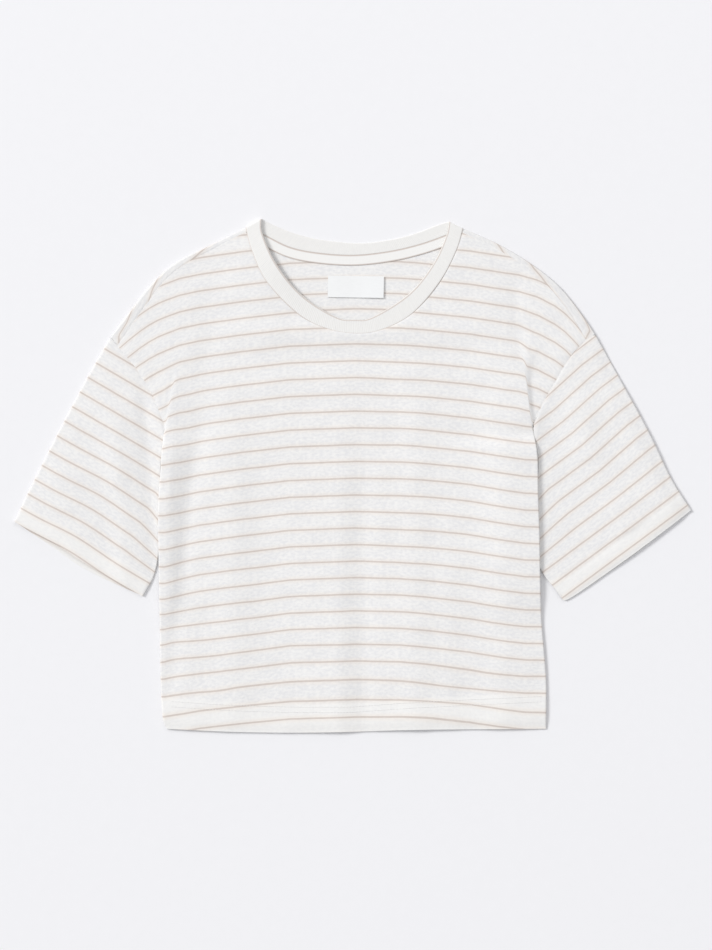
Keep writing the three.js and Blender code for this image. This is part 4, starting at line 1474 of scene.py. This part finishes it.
class CROPTOP_OT_sleeves(bpy.types.Operator):
    """Build both sleeves"""

    bl_idname = "croptop.sleeves"
    bl_label = "Sleeves"

    def execute(self, context):
        settings = context.scene.crop_top
        for hand in HANDS:
            piece = make_sleeve(hand, settings, shared(jersey_material, settings))
            finish(piece, "jersey", f"sleeve_{hand}")
        return {"FINISHED"}


class CROPTOP_OT_neck(bpy.types.Operator):
    """Build the rib neckband and the binding inside the back"""

    bl_idname = "croptop.neck"
    bl_label = "Neckband and binding"

    def execute(self, context):
        settings = context.scene.crop_top
        piece = make_neckband(settings, shared(rib_material, settings))
        finish(piece, "rib", "neckband")
        piece = make_neck_tape(settings, shared(binding_material, settings))
        finish(piece, "tape", "neck_tape")
        return {"FINISHED"}


class CROPTOP_OT_label(bpy.types.Operator):
    """Build the blank woven label"""

    bl_idname = "croptop.label"
    bl_label = "Label"

    def execute(self, context):
        settings = context.scene.crop_top
        piece = make_label(settings, shared(label_material, settings))
        finish(piece, "label", "label")
        return {"FINISHED"}


class CROPTOP_OT_stitching(bpy.types.Operator):
    """Sew the two stitch rows of the body's hem"""

    bl_idname = "croptop.stitching"
    bl_label = "Stitching"

    def execute(self, context):
        settings = context.scene.crop_top
        runs = []
        share = np.linspace(0, 1, int(STITCHES["length"] / STITCHES["pitch"]))
        for back in STITCHES["rows"]:
            plan = hem_route.at(STITCHES["ends"] + (1 - 2 * STITCHES["ends"]) * share)
            plan = plan + [0, 1] * (hem_depth(plan[..., 0])[..., None] - back)
            runs.append(solid(plan, front_height(plan) + STITCHES["above"]))
        piece = stitches("hem_stitching", runs, settings, shared(thread_material, settings))
        finish(piece, "jersey")
        return {"FINISHED"}


def soft_light(name, power, size, place):
    """A square light that faces the middle of the table."""
    lamp = bpy.data.objects.new(name, bpy.data.lights.new(name, "AREA"))
    lamp.data.energy = power
    lamp.data.size = size
    lamp.location = place
    aim = -lamp.location
    lamp.rotation_euler = aim.to_track_quat("-Z", "Y").to_euler()
    return lamp


class CROPTOP_OT_stage(bpy.types.Operator):
    """Set the table, the lights and the camera"""

    bl_idname = "croptop.stage"
    bl_label = "Stage"

    def execute(self, context):
        scene = context.scene
        stage = scene.crop_top_stage
        size = stage.table_size / 2
        corners = [(-size, -size, 0), (size, -size, 0), (size, size, 0), (-size, size, 0)]
        mesh = bpy.data.meshes.new("table")
        mesh.from_pydata(corners, [], [(0, 1, 2, 3)])
        mesh.materials.append(table_material(stage))
        table = bpy.data.objects.new("table", mesh)

        camera = bpy.data.objects.new("camera", bpy.data.cameras.new("camera"))
        camera.data.sensor_width = SENSOR
        camera.data.lens = SENSOR * stage.camera_height / VIEW["height"]
        camera.data.clip_end = 10.0
        camera.location = (VIEW["x"], VIEW["y"], stage.camera_height)

        key = soft_light("key light", stage.key_power, **KEY_LIGHT)
        top = soft_light("top light", stage.top_power, **TOP_LIGHT)

        world = bpy.data.worlds.new("studio")
        world.use_nodes = True
        backdrop = world.node_tree.nodes["Background"]
        backdrop.inputs["Color"].default_value = linear("#fdfdff")
        backdrop.inputs["Strength"].default_value = stage.sky
        scene.world = world

        for thing in (table, camera, key, top):
            scene.collection.objects.link(thing)
        scene.camera = camera
        scene.view_settings.view_transform = "Standard"
        return {"FINISHED"}


class CROPTOP_PT_panel(bpy.types.Panel):
    bl_label = "Crop top"
    bl_idname = "CROPTOP_PT_panel"
    bl_space_type = "VIEW_3D"
    bl_region_type = "UI"
    bl_category = "Crop top"

    def draw(self, context):
        for group in (context.scene.crop_top, context.scene.crop_top_stage):
            box = self.layout.box()
            for key in group.bl_rna.properties.keys():
                if key not in ("rna_type", "name"):
                    box.prop(group, key)
        for operator in OPERATORS:
            self.layout.operator(operator.bl_idname)


OPERATORS = (
    CROPTOP_OT_front, CROPTOP_OT_back, CROPTOP_OT_sleeves, CROPTOP_OT_neck,
    CROPTOP_OT_label, CROPTOP_OT_stitching, CROPTOP_OT_stage,
)
CLASSES = (ClothSettings, StageSettings, *OPERATORS, CROPTOP_PT_panel)


def register():
    for kind in CLASSES:
        bpy.utils.register_class(kind)
    bpy.types.Scene.crop_top = bpy.props.PointerProperty(type=ClothSettings)
    bpy.types.Scene.crop_top_stage = bpy.props.PointerProperty(type=StageSettings)


def unregister():
    del bpy.types.Scene.crop_top_stage
    del bpy.types.Scene.crop_top
    for kind in reversed(CLASSES):
        bpy.utils.unregister_class(kind)


def main():
    register()
    bpy.ops.croptop.front()
    bpy.ops.croptop.back()
    bpy.ops.croptop.sleeves()
    bpy.ops.croptop.neck()
    bpy.ops.croptop.label()
    bpy.ops.croptop.stitching()
    bpy.ops.croptop.stage()


if __name__ == "__main__":
    main()
